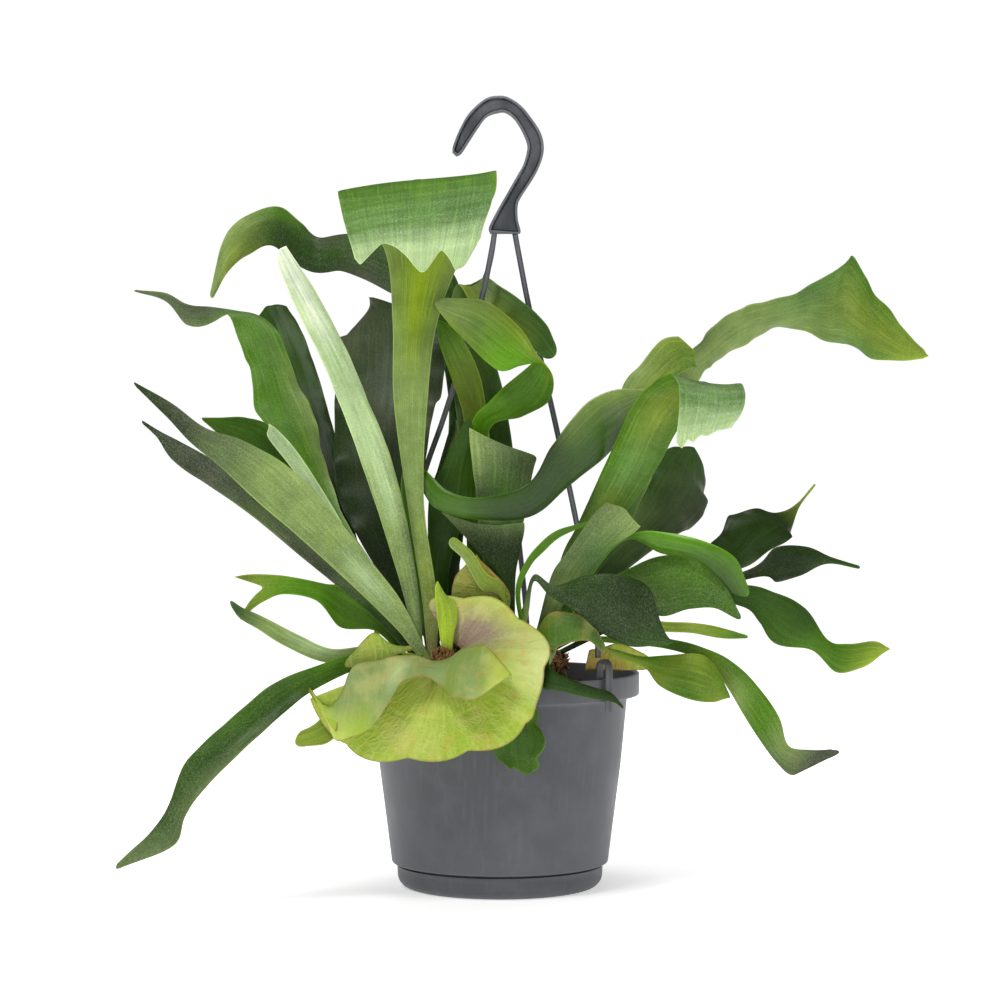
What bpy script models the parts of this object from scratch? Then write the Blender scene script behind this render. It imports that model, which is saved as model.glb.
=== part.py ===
"""Staghorn fern growing in a hanging pot with a moulded hook hanger.

Origin at the centre of the saucer's underside, +Z up, front toward -Y, metres.
"""

import math

import bmesh
import bpy
import numpy as np
from mathutils import Vector

MM = 0.001

# Pot and saucer
RIM_RADIUS = 85.0
RIM_TOP = 131.0
RIM_BOTTOM = 117.5
BODY_TOP_RADIUS = 77.5
BODY_FOOT_RADIUS = 66.0
FOOT_STEP_HEIGHT = 14.6
PLUG_RADIUS = 60.4
POT_UNDERSIDE = 2.4
WALL = 1.6
SAUCER_RADIUS = 62.8
SAUCER_HEIGHT = 13.4

# Potting mix
MIX_TOP = 124.0

# Hanger
HOOK_THICKNESS = 5.0
STRAND_RADIUS = 1.7
CLIP_WIDTH = 5.4
CLIP_THICKNESS = 1.6
CLIP_ANGLES = (-43.0, -163.0, 77.0)

# Fronds
BLADE_THICKNESS = 1.1
ROWS_PER_STATION = 2

HOOK_OUTER = (
    (-24.4, 461.5), (-18.3, 471.6), (-8.8, 479.8), (-0.6, 481.6), (5.5, 480.4), (12.8, 475.5),
    (19.2, 467.9), (24.8, 459.0), (26.7, 450.5), (25.4, 442.6), (21.0, 432.8), (12.8, 420.0),
    (10.8, 414.5), (11.0, 406.2), (12.6, 399.0), (11.6, 397.6),
)
HOOK_INNER = (
    (-6.0, 397.6), (-7.2, 401.7), (0.5, 415.8), (6.7, 426.7), (14.2, 439.9), (16.5, 448.7),
    (16.0, 453.6), (12.8, 460.9), (8.5, 467.2), (3.7, 471.0), (-0.7, 471.0), (-8.2, 468.5),
    (-14.0, 460.9), (-24.0, 445.4), (-26.8, 444.6), (-29.0, 447.4), (-28.6, 451.0),
)

STRANDS = {
    "hanger_strand_left": (
        (-3.6, -2.0, 396.6), (-5.2, -2.4, 387.0), (-11.0, -5.0, 359.0), (-22.6, -8.6, 322.0),
        (-34.6, -12.0, 284.6), (-45.4, -15.0, 253.8), (-60.0, -19.0, 205.0), (-73.0, -22.6, 162.0),
        (-75.9, -23.2, 143.6),
    ),
    "hanger_strand_right": (
        (9.3, -0.6, 396.6), (12.4, -2.6, 380.0), (17.6, -8.0, 353.0), (27.4, -18.0, 309.0),
        (34.3, -25.0, 278.0), (43.6, -35.0, 234.0), (52.0, -46.0, 190.0), (57.4, -53.2, 156.0),
        (58.2, -54.3, 143.6),
    ),
    "hanger_strand_back": (
        (-3.6, 2.2, 396.6), (-5.2, 9.0, 386.0), (-7.6, 16.0, 376.0), (-10.6, 22.0, 366.0),
        (-10.6, 31.0, 346.0), (-2.0, 46.0, 305.0), (8.0, 63.0, 240.0), (15.0, 74.0, 180.0),
        (17.9, 77.2, 143.6),
    ),
}

# How far the fronds lean apart, as a share of their distance from the plane of the hanger's
# front strands: forward with height, forward out to the sides, and backward out to the sides.
FRONT_SPREAD = 0.6
SIDE_SPREAD = 0.5
BACK_SPREAD = 1.6
# The front outline is laid out as it is seen from this far off, at this height.
OUTLINE_DISTANCE = 1830.0
OUTLINE_HEIGHT = 284.0

GREEN = "frond_green"
DEEP = "frond_deep_green"
SILVER = "frond_silver_green"
SHIELD = "shield_frond"

# Each station is the blade's left margin (x, y, z) then right margin (x, y, z), base first.
FRONDS = {
    "tall_centre_frond": (GREEN, 1.0, (
        (-43, -66, 148, -37, -66, 148), (-46, -63, 179, -37, -63, 179),
        (-55, -57, 237, -45, -57, 237), (-63, -50, 296, -43, -50, 296),
        (-64, -42, 344, -37, -42, 344), (-69, -36, 386, -21, -36, 386),
        (-91, -36, 415, -4, -36, 418), (-96, -47, 420, -2, -47, 432),
        (-92, -66, 403, -4, -66, 417), (-84, -80, 376, -13, -80, 384),
    )),
    "silver_strap_frond": (SILVER, 1.0, (
        (-49, -68, 149, -45, -67, 149), (-60, -67, 193, -50, -65, 198),
        (-78, -66, 249, -62, -63, 255), (-95, -64, 296, -79, -61, 299),
        (-108, -62, 326, -93, -60, 331), (-123, -61, 356, -109, -60, 361),
        (-133, -61, 381, -126, -61, 387),
    )),
    "broad_left_frond": (SILVER, 1.0, (
        (-44, -72, 151, -48, -73, 148), (-58, -76, 179, -65, -78, 167),
        (-78, -82, 206, -88, -85, 190), (-99, -88, 233, -117, -91, 217),
        (-122, -92, 257, -140, -95, 237), (-147, -95, 272, -161, -97, 257),
        (-170, -97, 280, -178, -98, 271), (-189, -99, 294, -192, -99, 286),
        (-210, -100, 306, -209, -100, 303),
    )),
    "lower_left_frond": (DEEP, 1.0, (
        (-51, -62, 150, -54, -63, 147), (-70, -65, 179, -77, -67, 171),
        (-105, -71, 211, -116, -73, 204), (-137, -75, 239, -147, -77, 230),
        (-166, -77, 260, -173, -78, 248), (-187, -78, 272, -191, -79, 261),
        (-200, -79, 279, -200, -79, 274), (-208, -80, 284, -208, -80, 282),
    )),
    "upper_left_frond": (GREEN, 1.0, (
        (-50, -56, 150, -46, -55, 150), (-76, -54, 184, -68, -52, 187),
        (-106, -45, 234, -95, -43, 231), (-129, -36, 266, -105, -33, 263),
        (-146, -27, 291, -113, -24, 288), (-151, -18, 315, -125, -15, 315),
        (-158, -10, 332, -135, -8, 338), (-166, -6, 347, -147, -4, 349),
        (-180, -4, 342, -174, -3, 353), (-191, 0, 343, -190, 0, 355),
        (-204, 2, 357, -204, 2, 362), (-223, 5, 363, -222, 5, 364),
    )),
    "upper_left_back_frond": (DEEP, 1.0, (
        (-49, -50, 150, -45, -49, 150), (-88, -38, 201, -81, -37, 201),
        (-106, -18, 244, -92, -16, 244), (-122, 4, 279, -102, 6, 279),
        (-136, 22, 314, -113, 24, 314), (-148, 34, 341, -124, 36, 341),
        (-151, 40, 353, -134, 42, 358),
    )),
    "left_back_lobe_frond": (GREEN, 1.0, (
        (-51, -59, 154, -53, -60, 152), (-88, -61, 198, -92, -62, 193),
        (-118, -59, 250, -127, -61, 242), (-134, -58, 279, -144, -60, 260),
        (-150, -58, 286, -158, -60, 268), (-166, -59, 286, -168, -60, 278),
        (-175, -60, 286, -175, -60, 284),
    )),
    "narrow_silver_frond": (SILVER, 0.6, (
        (-51, -66, 155, -54, -67, 153), (-75, -69, 193, -80, -70, 189),
        (-99, -70, 235, -105, -71, 230), (-117, -68, 263, -123, -69, 257),
        (-130, -66, 278, -136, -67, 274), (-135, -66, 282, -136, -66, 280),
    )),
    "dark_centre_left_frond": (DEEP, 1.0, (
        (-41, -51, 150, -35, -51, 150), (-66, -47, 184, -46, -46, 184),
        (-96, -35, 237, -47, -33, 237), (-100, -18, 279, -42, -18, 279),
        (-99, 2, 315, -34, 2, 315), (-97, 18, 337, -37, 18, 343),
        (-91, 24, 343, -51, 24, 350),
    )),
    "arching_top_left_frond": (GREEN, 1.2, (
        (-30, 2, 150, -24, 2, 150), (-34, 20, 236, -25, 20, 236),
        (-32, 34, 297, -21, 34, 297), (-44, 37, 346, -28, 40, 374),
        (-71, 36, 365, -74, 40, 395), (-96, 32, 376, -94, 36, 400),
        (-115, 29, 376, -112, 33, 398), (-131, 26, 385, -124, 29, 407),
        (-142, 23, 392, -137, 26, 416), (-156, 21, 386, -156, 24, 411),
        (-167, 18, 376, -170, 20, 396), (-176, 16, 360, -178, 16, 363),
    )),
    "forked_left_frond": (GREEN, 1.0, (
        (-57, -58, 149, -59, -59, 146), (-71, -59, 168, -74, -60, 160),
        (-87, -60, 185, -94, -61, 162), (-103, -63, 188, -108, -65, 178),
        (-120, -68, 192, -126, -70, 182), (-136, -72, 194, -139, -74, 178),
        (-156, -76, 193, -153, -78, 168),
    )),
    "narrow_left_frond": (GREEN, 0.6, (
        (-59, -74, 149, -61, -75, 145), (-78, -75, 152, -80, -76, 145),
        (-99, -78, 151, -102, -80, 143), (-119, -82, 160, -124, -84, 152),
        (-138, -85, 170, -141, -87, 163), (-149, -87, 175, -151, -88, 169),
        (-155, -88, 179, -155, -88, 174),
    )),
    "drooping_left_frond": (DEEP, 1.5, (
        (-54, -80, 148, -55, -81, 144), (-77, -84, 150, -76, -86, 142),
        (-107, -95, 142, -103, -97, 131), (-133, -103, 131, -121, -106, 119),
        (-157, -109, 111, -142, -112, 100), (-180, -113, 89, -167, -116, 76),
        (-189, -115, 66, -180, -118, 58), (-200, -117, 49, -187, -119, 41),
        (-219, -119, 31, -218, -120, 28),
    )),
    "small_drooping_left_frond": (DEEP, 1.0, (
        (-64, -90, 144, -61, -91, 139), (-74, -94, 133, -70, -95, 126),
        (-92, -99, 124, -87, -99, 114), (-106, -101, 110, -98, -102, 99),
        (-115, -102, 105, -113, -103, 96),
    )),
    "arching_top_right_frond": (DEEP, 1.2, (
        (-15, 12, 150, -5, 12, 150), (-20, 20, 235, 9, 20, 235),
        (-28, 21, 297, 3, 21, 297), (-32, 17, 340, -12, 17, 351),
        (-26, 12, 367, -10, 13, 372), (-13, 4, 348, 2, 5, 365),
        (5, -13, 336, 14, -12, 356), (18, -26, 328, 27, -25, 343),
        (26, -32, 322, 33, -31, 331),
    )),
    "curled_centre_frond": (GREEN, 1.0, (
        (-9, -20, 152, -5, -20, 152), (-13, -30, 248, -5, -30, 248),
        (-17, -37, 282, -6, -37, 279), (-6, -40, 296, 13, -40, 287),
        (8, -43, 309, 29, -43, 296), (23, -47, 322, 31, -48, 311),
        (11, -53, 316, 21, -55, 325), (-1, -53, 314, 11, -55, 340),
        (-15, -51, 326, -9, -52, 355), (-29, -49, 340, -31, -49, 357),
    )),
    "centre_strap_frond": (GREEN, 0.8, (
        (-19, -8, 151, -15, -8, 151), (-21, -14, 248, -6, -14, 248),
        (-22, -20, 285, -8, -20, 288), (-29, -24, 309, -13, -24, 314),
        (-36, -28, 329, -24, -28, 336), (-38, -29, 341, -33, -29, 343),
    )),
    "dark_tip_frond": (DEEP, 0.6, (
        (-40, -43, 152, -36, -42, 152), (-43, -24, 200, -24, -24, 200),
        (-43, -21, 236, -22, -21, 236), (-37, -21, 257, -30, -21, 263),
        (-31, -21, 277, -25, -21, 277), (-28, -21, 284, -26, -21, 284),
    )),
    "centre_green_frond": (GREEN, 1.0, (
        (-32, -47, 152, -28, -47, 152), (-40, -44, 184, -31, -44, 184),
        (-42, -43, 210, -27, -43, 210), (-42, -42, 236, -16, -42, 234),
        (-37, -43, 252, -14, -43, 255), (-30, -45, 266, -14, -45, 272),
        (-22, -46, 282, -17, -46, 284),
    )),
    "mitten_tip_frond": (SILVER, 1.0, (
        (-2, -44, 152, 4, -44, 152), (-5, -48, 178, 5, -48, 178),
        (-10, -51, 201, 10, -51, 201), (-13, -52, 227, 14, -52, 227),
        (-15, -53, 246, 18, -53, 247), (-17, -54, 264, 22, -54, 260),
        (-18, -54, 280, 20, -54, 264),
    )),
    "glossy_wave_frond": (DEEP, 1.3, (
        (-45, -59, 155, -42, -58, 155), (-50, -58, 185, -46, -57, 185),
        (-57, -50, 225, -51, -49, 222), (-58, -48, 253, -53, -48, 245),
        (-45, -51, 255, -47, -50, 243), (-31, -61, 243, -37, -60, 232),
        (-11, -67, 239, -13, -66, 226), (16, -69, 247, 18, -68, 228),
        (31, -67, 270, 41, -65, 246), (48, -61, 292, 62, -58, 263),
        (66, -52, 302, 78, -49, 280), (84, -46, 303, 86, -45, 295),
    )),
    "rolled_lip_frond": (SILVER, 1.4, (
        (4, -52, 156, 9, -52, 156), (0, -57, 189, 9, -57, 187),
        (-10, -57, 203, 11, -58, 203), (-23, -56, 218, 14, -58, 218),
        (-35, -55, 230, 14, -58, 227),
    )),
    "small_rolled_frond": (SILVER, 0.8, (
        (8, -62, 160, 11, -62, 157), (2, -69, 187, 0, -70, 181),
        (-8, -72, 195, -11, -73, 185), (-16, -73, 207, -21, -74, 202),
        (-25, -73, 215, -29, -74, 210),
    )),
    "narrow_arching_frond": (GREEN, 0.4, (
        (13, -62, 157, 16, -62, 156), (9, -72, 184, 12, -72, 183),
        (14, -74, 200, 18, -74, 199), (22, -76, 211, 26, -76, 208),
        (33, -78, 220, 35, -78, 216), (50, -79, 225, 50, -79, 223),
    )),
    "right_channel_frond": (GREEN, 1.4, (
        (26, -50, 158, 31, -50, 158), (36, -54, 202, 47, -54, 197),
        (47, -56, 225, 66, -56, 219), (65, -60, 265, 92, -60, 255),
        (79, -62, 294, 106, -62, 281), (90, -61, 306, 126, -61, 300),
        (101, -67, 312, 141, -67, 305), (105, -77, 297, 143, -77, 295),
        (102, -84, 269, 135, -84, 280),
    )),
    "right_hump_frond": (GREEN, 1.2, (
        (22, -35, 156, 32, -35, 156), (50, -37, 223, 68, -37, 215),
        (73, -38, 272, 90, -37, 266), (73, -29, 303, 96, -27, 297),
        (84, -21, 317, 106, -19, 310), (98, -16, 333, 116, -14, 316),
        (115, -14, 335, 121, -14, 316),
    )),
    "far_right_frond": (GREEN, 1.2, (
        (27, -24, 154, 31, -24, 154), (59, -20, 226, 76, -19, 218),
        (91, -5, 278, 102, -3, 272), (110, 9, 318, 123, 11, 310),
        (123, 17, 333, 130, 19, 318), (146, 26, 353, 150, 29, 331),
        (171, 32, 359, 171, 36, 341), (193, 35, 370, 190, 39, 340),
        (210, 34, 378, 204, 38, 333), (218, 32, 386, 211, 37, 331),
        (227, 31, 373, 218, 36, 331), (239, 29, 354, 234, 33, 323),
        (253, 27, 337, 249, 29, 321), (266, 26, 325, 265, 26, 323),
    )),
    "dark_round_back_frond": (DEEP, 1.0, (
        (27, -16, 154, 31, -16, 154), (53, -12, 203, 69, -12, 187),
        (80, 8, 229, 98, 10, 208), (90, 27, 253, 124, 31, 223),
        (103, 40, 266, 129, 44, 247), (116, 45, 268, 124, 46, 262),
    )),
    "grey_fan_frond": (SILVER, 1.4, (
        (22, -56, 162, 27, -56, 162), (30, -66, 192, 52, -66, 194),
        (42, -69, 211, 66, -69, 209), (53, -71, 227, 77, -71, 217),
        (62, -71, 236, 84, -71, 224),
    )),
    "glossy_right_frond": (DEEP, 1.2, (
        (36, -52, 160, 38, -52, 156), (53, -58, 202, 55, -58, 193),
        (80, -62, 218, 75, -62, 214), (100, -63, 218, 95, -64, 206),
        (121, -65, 213, 115, -66, 202), (138, -66, 204, 127, -67, 193),
        (146, -66, 187, 134, -67, 185),
    )),
    "speckled_front_frond": (DEEP, 1.2, (
        (14, -67, 176, 17, -67, 172), (20, -73, 194, 20, -73, 190),
        (32, -77, 188, 29, -78, 182), (50, -83, 194, 44, -85, 173),
        (69, -88, 195, 58, -90, 161), (86, -91, 187, 75, -92, 154),
        (93, -92, 168, 94, -93, 154),
    )),
    "grey_right_frond": (SILVER, 1.2, (
        (34, -47, 156, 36, -47, 153), (53, -53, 184, 55, -53, 175),
        (73, -55, 195, 74, -55, 175), (95, -57, 204, 95, -58, 169),
        (118, -58, 203, 112, -59, 173), (131, -58, 190, 127, -59, 173),
        (142, -58, 170, 140, -58, 167),
    )),
    "thin_right_frond": (GREEN, 0.6, (
        (58, -62, 170, 59, -62, 164), (94, -63, 166, 94, -63, 160),
        (115, -64, 165, 113, -64, 159), (131, -65, 162, 130, -65, 156),
        (145, -65, 158, 145, -65, 156),
    )),
    "twisted_right_frond": (DEEP, 1.2, (
        (36, -40, 152, 37, -40, 149), (95, -42, 186, 96, -42, 178),
        (146, -41, 186, 142, -41, 174), (164, -42, 182, 155, -43, 164),
        (181, -46, 173, 164, -47, 151), (195, -50, 154, 185, -51, 148),
        (207, -52, 152, 200, -53, 135), (223, -54, 153, 216, -54, 138),
        (230, -54, 150, 227, -54, 146),
    )),
    "upper_right_dark_frond": (DEEP, 1.2, (
        (36, -29, 152, 37, -29, 148), (97, -26, 190, 100, -26, 184),
        (131, -12, 213, 145, -12, 194), (141, -4, 228, 163, -4, 204),
        (156, 3, 229, 177, 3, 211), (169, 9, 227, 179, 9, 217),
        (182, 13, 233, 184, 13, 231), (193, 16, 245, 194, 16, 244),
    )),
    "pointed_right_dark_frond": (DEEP, 1.2, (
        (38, -34, 148, 39, -34, 145), (97, -34, 178, 98, -34, 173),
        (150, -28, 195, 154, -28, 190), (166, -26, 208, 167, -26, 187),
        (185, -25, 208, 181, -25, 191), (200, -24, 202, 197, -24, 198),
        (216, -23, 197, 216, -23, 195),
    )),
    "lower_right_pale_frond": (GREEN, 1.2, (
        (72, -60, 148, 74, -60, 143), (84, -61, 145, 86, -61, 138),
        (99, -65, 146, 94, -66, 128), (117, -70, 147, 110, -71, 121),
        (127, -72, 139, 124, -73, 119), (134, -74, 125, 132, -74, 121),
    )),
    "drooping_right_frond": (GREEN, 1.2, (
        (68, -52, 156, 69, -52, 152), (100, -55, 155, 99, -55, 149),
        (126, -60, 148, 123, -60, 141), (141, -64, 139, 134, -65, 127),
        (154, -69, 125, 144, -70, 110), (164, -73, 110, 153, -74, 96),
        (169, -76, 94, 162, -77, 84), (181, -80, 92, 170, -81, 77),
        (193, -82, 92, 178, -83, 80),
    )),
    "over_rim_frond": (GREEN, 1.0, (
        (30, -64, 150, 33, -64, 148), (29, -88, 142, 25, -89, 130),
        (36, -87, 136, 36, -88, 127), (53, -81, 129, 54, -82, 122),
        (65, -74, 125, 66, -74, 119), (72, -69, 117, 72, -69, 115),
    )),
    "pot_front_frond": (DEEP, 1.0, (
        (8, -66, 146, 14, -66, 146), (5, -84, 139, 14, -84, 139),
        (3, -90, 122, 18, -90, 122), (-3, -88, 102, 24, -88, 105),
        (-5, -86, 92, 24, -86, 90), (4, -85, 80, 19, -85, 78),
    )),
    "round_shield": (SHIELD, 1.0, (
        (-44, -84, 140, -102, -105, 112), (-42, -88, 136, -88, -107, 95),
        (-38, -90, 134, -62, -107, 88), (-33, -90, 133, -36, -107, 89),
        (-28, -89, 134, -7, -105, 95), (-25, -87, 137, 17, -103, 108),
        (-24, -84, 141, 21, -101, 123), (-23, -81, 145, 29, -96, 148),
        (-23, -78, 149, 17, -88, 166), (-24, -75, 152, -2, -81, 179),
        (-28, -74, 155, -24, -76, 183),
    )),
    "folded_shield_lobe": (SHIELD, 1.0, (
        (-88, -110, 130, -99, -112, 111), (-85, -105, 142, -93, -117, 101),
        (-76, -103, 146, -78, -119, 106), (-62, -101, 148, -63, -117, 121),
        (-52, -99, 148, -56, -113, 135), (-40, -97, 146, -43, -110, 137),
        (-30, -97, 148, -34, -112, 133), (-20, -100, 154, -26, -118, 124),
        (-8, -105, 153, -15, -120, 125), (2, -110, 144, -2, -116, 133),
    )),
    "cone_shield": (SHIELD, 0.8, (
        (-60, -91, 148, -65, -89, 155), (-72, -92, 143, -74, -90, 161),
        (-87, -93, 141, -87, -92, 148),
    )),
    "young_upright_frond": (GREEN, 1.0, (
        (-35, -81, 157, -27, -81, 158), (-37, -80, 172, -25, -80, 174),
        (-38, -80, 185, -32, -80, 183), (-37, -80, 190, -36, -80, 190),
    )),
    "upright_shield": (SHIELD, 1.2, (
        (-20, -57, 152, -2, -56, 152), (-28, -63, 175, 6, -62, 176),
        (-27, -65, 190, 3, -64, 188), (-19, -66, 201, -6, -66, 197),
    )),
    "arching_right_shield": (SHIELD, 1.2, (
        (17, -66, 148, 18, -65, 154), (28, -73, 149, 29, -72, 171),
        (41, -74, 154, 44, -73, 171), (52, -75, 155, 54, -75, 165),
        (59, -76, 149, 60, -76, 156),
    )),
    "small_orange_shield": (SHIELD, 0.8, (
        (60, -40, 135, 62, -39, 149), (71, -39, 135, 72, -38, 151),
        (86, -38, 135, 86, -37, 145),
    )),
}

# Rhizomes: centre and half sizes
RHIZOMES = {
    "rhizome_left": ((-43, -56, 137), (13, 10, 8)),
    "rhizome_centre": ((-14, -2, 137), (19, 20, 11)),
    "rhizome_right": ((27, -34, 137), (12, 20, 10)),
}

COLOURS = {
    "pot_plastic": (0.09, 0.09, 0.1, 1.0),
    "hanger_plastic": (0.06, 0.06, 0.065, 1.0),
    "bark_mix": (0.05, 0.03, 0.02, 1.0),
    "rhizome_scales": (0.2, 0.1, 0.04, 1.0),
    GREEN: (0.12, 0.3, 0.04, 1.0),
    DEEP: (0.05, 0.14, 0.03, 1.0),
    SILVER: (0.25, 0.4, 0.2, 1.0),
    SHIELD: (0.5, 0.55, 0.12, 1.0),
}


def clear_scene():
    """Remove whatever the scene starts with."""
    for obj in list(bpy.data.objects):
        bpy.data.objects.remove(obj, do_unlink=True)


def make_material(name):
    """Return the Principled material of that name, making it on first use."""
    material = bpy.data.materials.get(name)
    if material is None:
        material = bpy.data.materials.new(name)
        material.use_nodes = True
        shader = material.node_tree.nodes["Principled BSDF"]
        shader.inputs["Base Color"].default_value = COLOURS[name]
        shader.inputs["Roughness"].default_value = 0.6
    return material


def add_object(name, mesh, material, collection):
    """Put a mesh in the collection as one named object with one material."""
    mesh.materials.clear()
    mesh.materials.append(make_material(material))
    obj = bpy.data.objects.new(name, mesh)
    collection.objects.link(obj)
    return obj


def mesh_from(name, verts, faces):
    """Build a mesh from millimetre vertices and face index lists."""
    mesh = bpy.data.meshes.new(name)
    mesh.from_pydata([tuple(v) for v in np.asarray(verts) * MM], [], faces)
    mesh.validate()
    return mesh


def through_stations(stations, count):
    """Catmull-Rom curve through the stations, sampled at count even parameters."""
    pts = np.asarray(stations, float)
    last = len(pts) - 1
    padded = np.vstack([2 * pts[0] - pts[1], pts, 2 * pts[-1] - pts[-2]])
    t = np.linspace(0.0, last, count)
    i = np.minimum(t.astype(int), last - 1)
    f = (t - i)[:, None]
    a, b, c, d = padded[i], padded[i + 1], padded[i + 2], padded[i + 3]
    return 0.5 * (2 * b + (c - a) * f + (2 * a - 5 * b + 4 * c - d) * f**2
                  + (3 * b - a - 3 * c + d) * f**3)


def rise(value, low, high):
    """Go from 0 at low to 1 at high, level at both ends."""
    share = np.clip((value - low) / (high - low), 0.0, 1.0)
    return share * share * (3.0 - 2.0 * share)


def spread(points):
    """Lean points apart from the plane of the front strands and keep the front outline."""
    x, y, z = points[..., 0], points[..., 1], points[..., 2]
    slope = 0.083 + 0.127 * rise(x, -10.0, 15.0) * (1.0 - rise(x, 60.0, 110.0))
    plane = -2.0 - (396.0 - z) * slope
    outer = rise(np.abs(x), 60.0, 200.0) * rise(z, 130.0, 190.0)
    forward = FRONT_SPREAD * rise(z, 150.0, 300.0) + SIDE_SPREAD * outer
    backward = BACK_SPREAD * rise(np.abs(x), 40.0, 140.0) * rise(z, 170.0, 300.0)
    moved = y + (y - plane) * np.where(y < plane, forward, backward)
    closer = (OUTLINE_DISTANCE + moved) / (OUTLINE_DISTANCE + y)
    level = OUTLINE_HEIGHT + (z - OUTLINE_HEIGHT) * closer
    return np.stack([x * closer, moved, level], axis=-1)


def blade(name, material, cup, stations, collection):
    """Leathery blade: an open grid between the two margins, given its thickness."""
    count = (len(stations) - 1) * ROWS_PER_STATION + 1
    edges = through_stations(stations, count)
    left = edges[:, :3]
    right = edges[:, 3:]
    across = right - left
    width = np.linalg.norm(across, axis=1, keepdims=True)
    along = np.gradient(0.5 * (left + right), axis=0)
    normal = np.cross(across, along)
    normal /= np.maximum(np.linalg.norm(normal, axis=1, keepdims=True), 1e-6)
    columns = 3 if width.max() > 22.0 else 2
    verts = []
    for k in range(columns + 1):
        u = k / columns
        depth = 4 * u * (1 - u) * 0.08 * cup * width
        verts.append(left + across * u + normal * depth)
    grid = np.stack(verts, axis=1).reshape(-1, 3)
    step = columns + 1
    faces = [
        (r * step + k, r * step + k + 1, (r + 1) * step + k + 1, (r + 1) * step + k)
        for r in range(count - 1)
        for k in range(columns)
    ]
    obj = add_object(name, mesh_from(name, grid, faces), material, collection)
    solid = obj.modifiers.new("blade_thickness", "SOLIDIFY")
    solid.thickness = BLADE_THICKNESS * MM
    solid.offset = 0.0
    return obj


def turned(name, profile, material, collection, wall=0.0, steps=32):
    """Turn an (r, z) profile about Z; a wall thickness makes it a thin shell."""
    points = [(r, 0.0, z) for r, z in profile]
    edges = [(i, i + 1) for i in range(len(points) - 1)]
    mesh = bpy.data.meshes.new(name)
    mesh.from_pydata([tuple(c * MM for c in p) for p in points], edges, [])
    obj = add_object(name, mesh, material, collection)
    screw = obj.modifiers.new("turn", "SCREW")
    screw.axis = "Z"
    screw.angle = math.tau
    screw.steps = steps
    screw.render_steps = steps
    screw.use_merge_vertices = True
    screw.merge_threshold = 0.00001
    if wall:
        solid = obj.modifiers.new("wall", "SOLIDIFY")
        solid.thickness = wall * MM
        solid.offset = -1.0
        solid.use_even_offset = True
    return obj


def loft(name, rings, material, collection):
    """Close a row of equal rings into one body with flat ends."""
    rings = np.asarray(rings, float)
    rows, sides = rings.shape[:2]
    faces = []
    for r in range(rows - 1):
        low = r * sides
        high = low + sides
        for k in range(sides):
            ahead = (k + 1) % sides
            faces.append((low + k, low + ahead, high + ahead, high + k))
    faces.append(tuple(reversed(range(sides))))
    faces.append(tuple((rows - 1) * sides + k for k in range(sides)))
    mesh = mesh_from(name, rings.reshape(-1, 3), faces)
    work = bmesh.new()
    work.from_mesh(mesh)
    bmesh.ops.recalc_face_normals(work, faces=work.faces[:])
    work.to_mesh(mesh)
    work.free()
    return add_object(name, mesh, material, collection)


def strand(name, path, material, collection):
    """Round hanger strand along its path."""
    centre = through_stations(path, (len(path) - 1) * 2 + 1)
    rings = []
    for i, point in enumerate(centre):
        ahead = centre[min(i + 1, len(centre) - 1)] - centre[max(i - 1, 0)]
        along = Vector(ahead).normalized()
        side = along.cross(Vector((0.0, 1.0, 0.0))).normalized()
        other = along.cross(side)
        ring = []
        for k in range(8):
            angle = math.tau * k / 8
            offset = side * math.cos(angle) + other * math.sin(angle)
            ring.append(point + np.array(offset) * STRAND_RADIUS)
        rings.append(ring)
    return loft(name, rings, material, collection)


def clip(name, angle, material, collection):
    """Strap clip hooked over the pot rim at that angle about Z."""
    path = (
        (80.6, 123.0), (80.6, 137.0), (81.6, 140.8), (84.3, 142.2),
        (87.0, 140.8), (88.0, 137.0), (88.0, 112.0),
    )
    out = Vector((math.cos(angle), math.sin(angle), 0.0))
    side = Vector((-out.y, out.x, 0.0))
    points = [out * r + Vector((0.0, 0.0, z)) for r, z in path]
    rings = []
    for i, point in enumerate(points):
        along = (points[min(i + 1, len(points) - 1)] - points[max(i - 1, 0)]).normalized()
        thick = along.cross(side) * (CLIP_THICKNESS / 2)
        half = side * (CLIP_WIDTH / 2)
        inner = [point - half - thick, point + half - thick]
        outer = [point + half + thick, point - half + thick]
        rings.append(inner + outer)
    return loft(name, rings, material, collection)


def hook(name, material, collection):
    """Flat moulded hook: outline in XZ given its thickness along Y."""
    outline = list(HOOK_OUTER) + list(HOOK_INNER)
    points = [(x, 0.0, z) for x, z in outline]
    mesh = mesh_from(name, points, [tuple(range(len(points)))])
    work = bmesh.new()
    work.from_mesh(mesh)
    bmesh.ops.triangulate(work, faces=work.faces[:])
    work.to_mesh(mesh)
    work.free()
    obj = add_object(name, mesh, material, collection)
    solid = obj.modifiers.new("hook_thickness", "SOLIDIFY")
    solid.thickness = HOOK_THICKNESS * MM
    solid.offset = 0.0
    return obj


def lump(name, centre, half_sizes, material, collection):
    """Rounded rhizome lump."""
    work = bmesh.new()
    bmesh.ops.create_uvsphere(work, u_segments=12, v_segments=8, radius=1.0)
    for vert in work.verts:
        scaled = [centre[k] + vert.co[k] * half_sizes[k] for k in range(3)]
        vert.co = Vector(scaled) * MM
    mesh = bpy.data.meshes.new(name)
    work.to_mesh(mesh)
    work.free()
    return add_object(name, mesh, material, collection)


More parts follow.
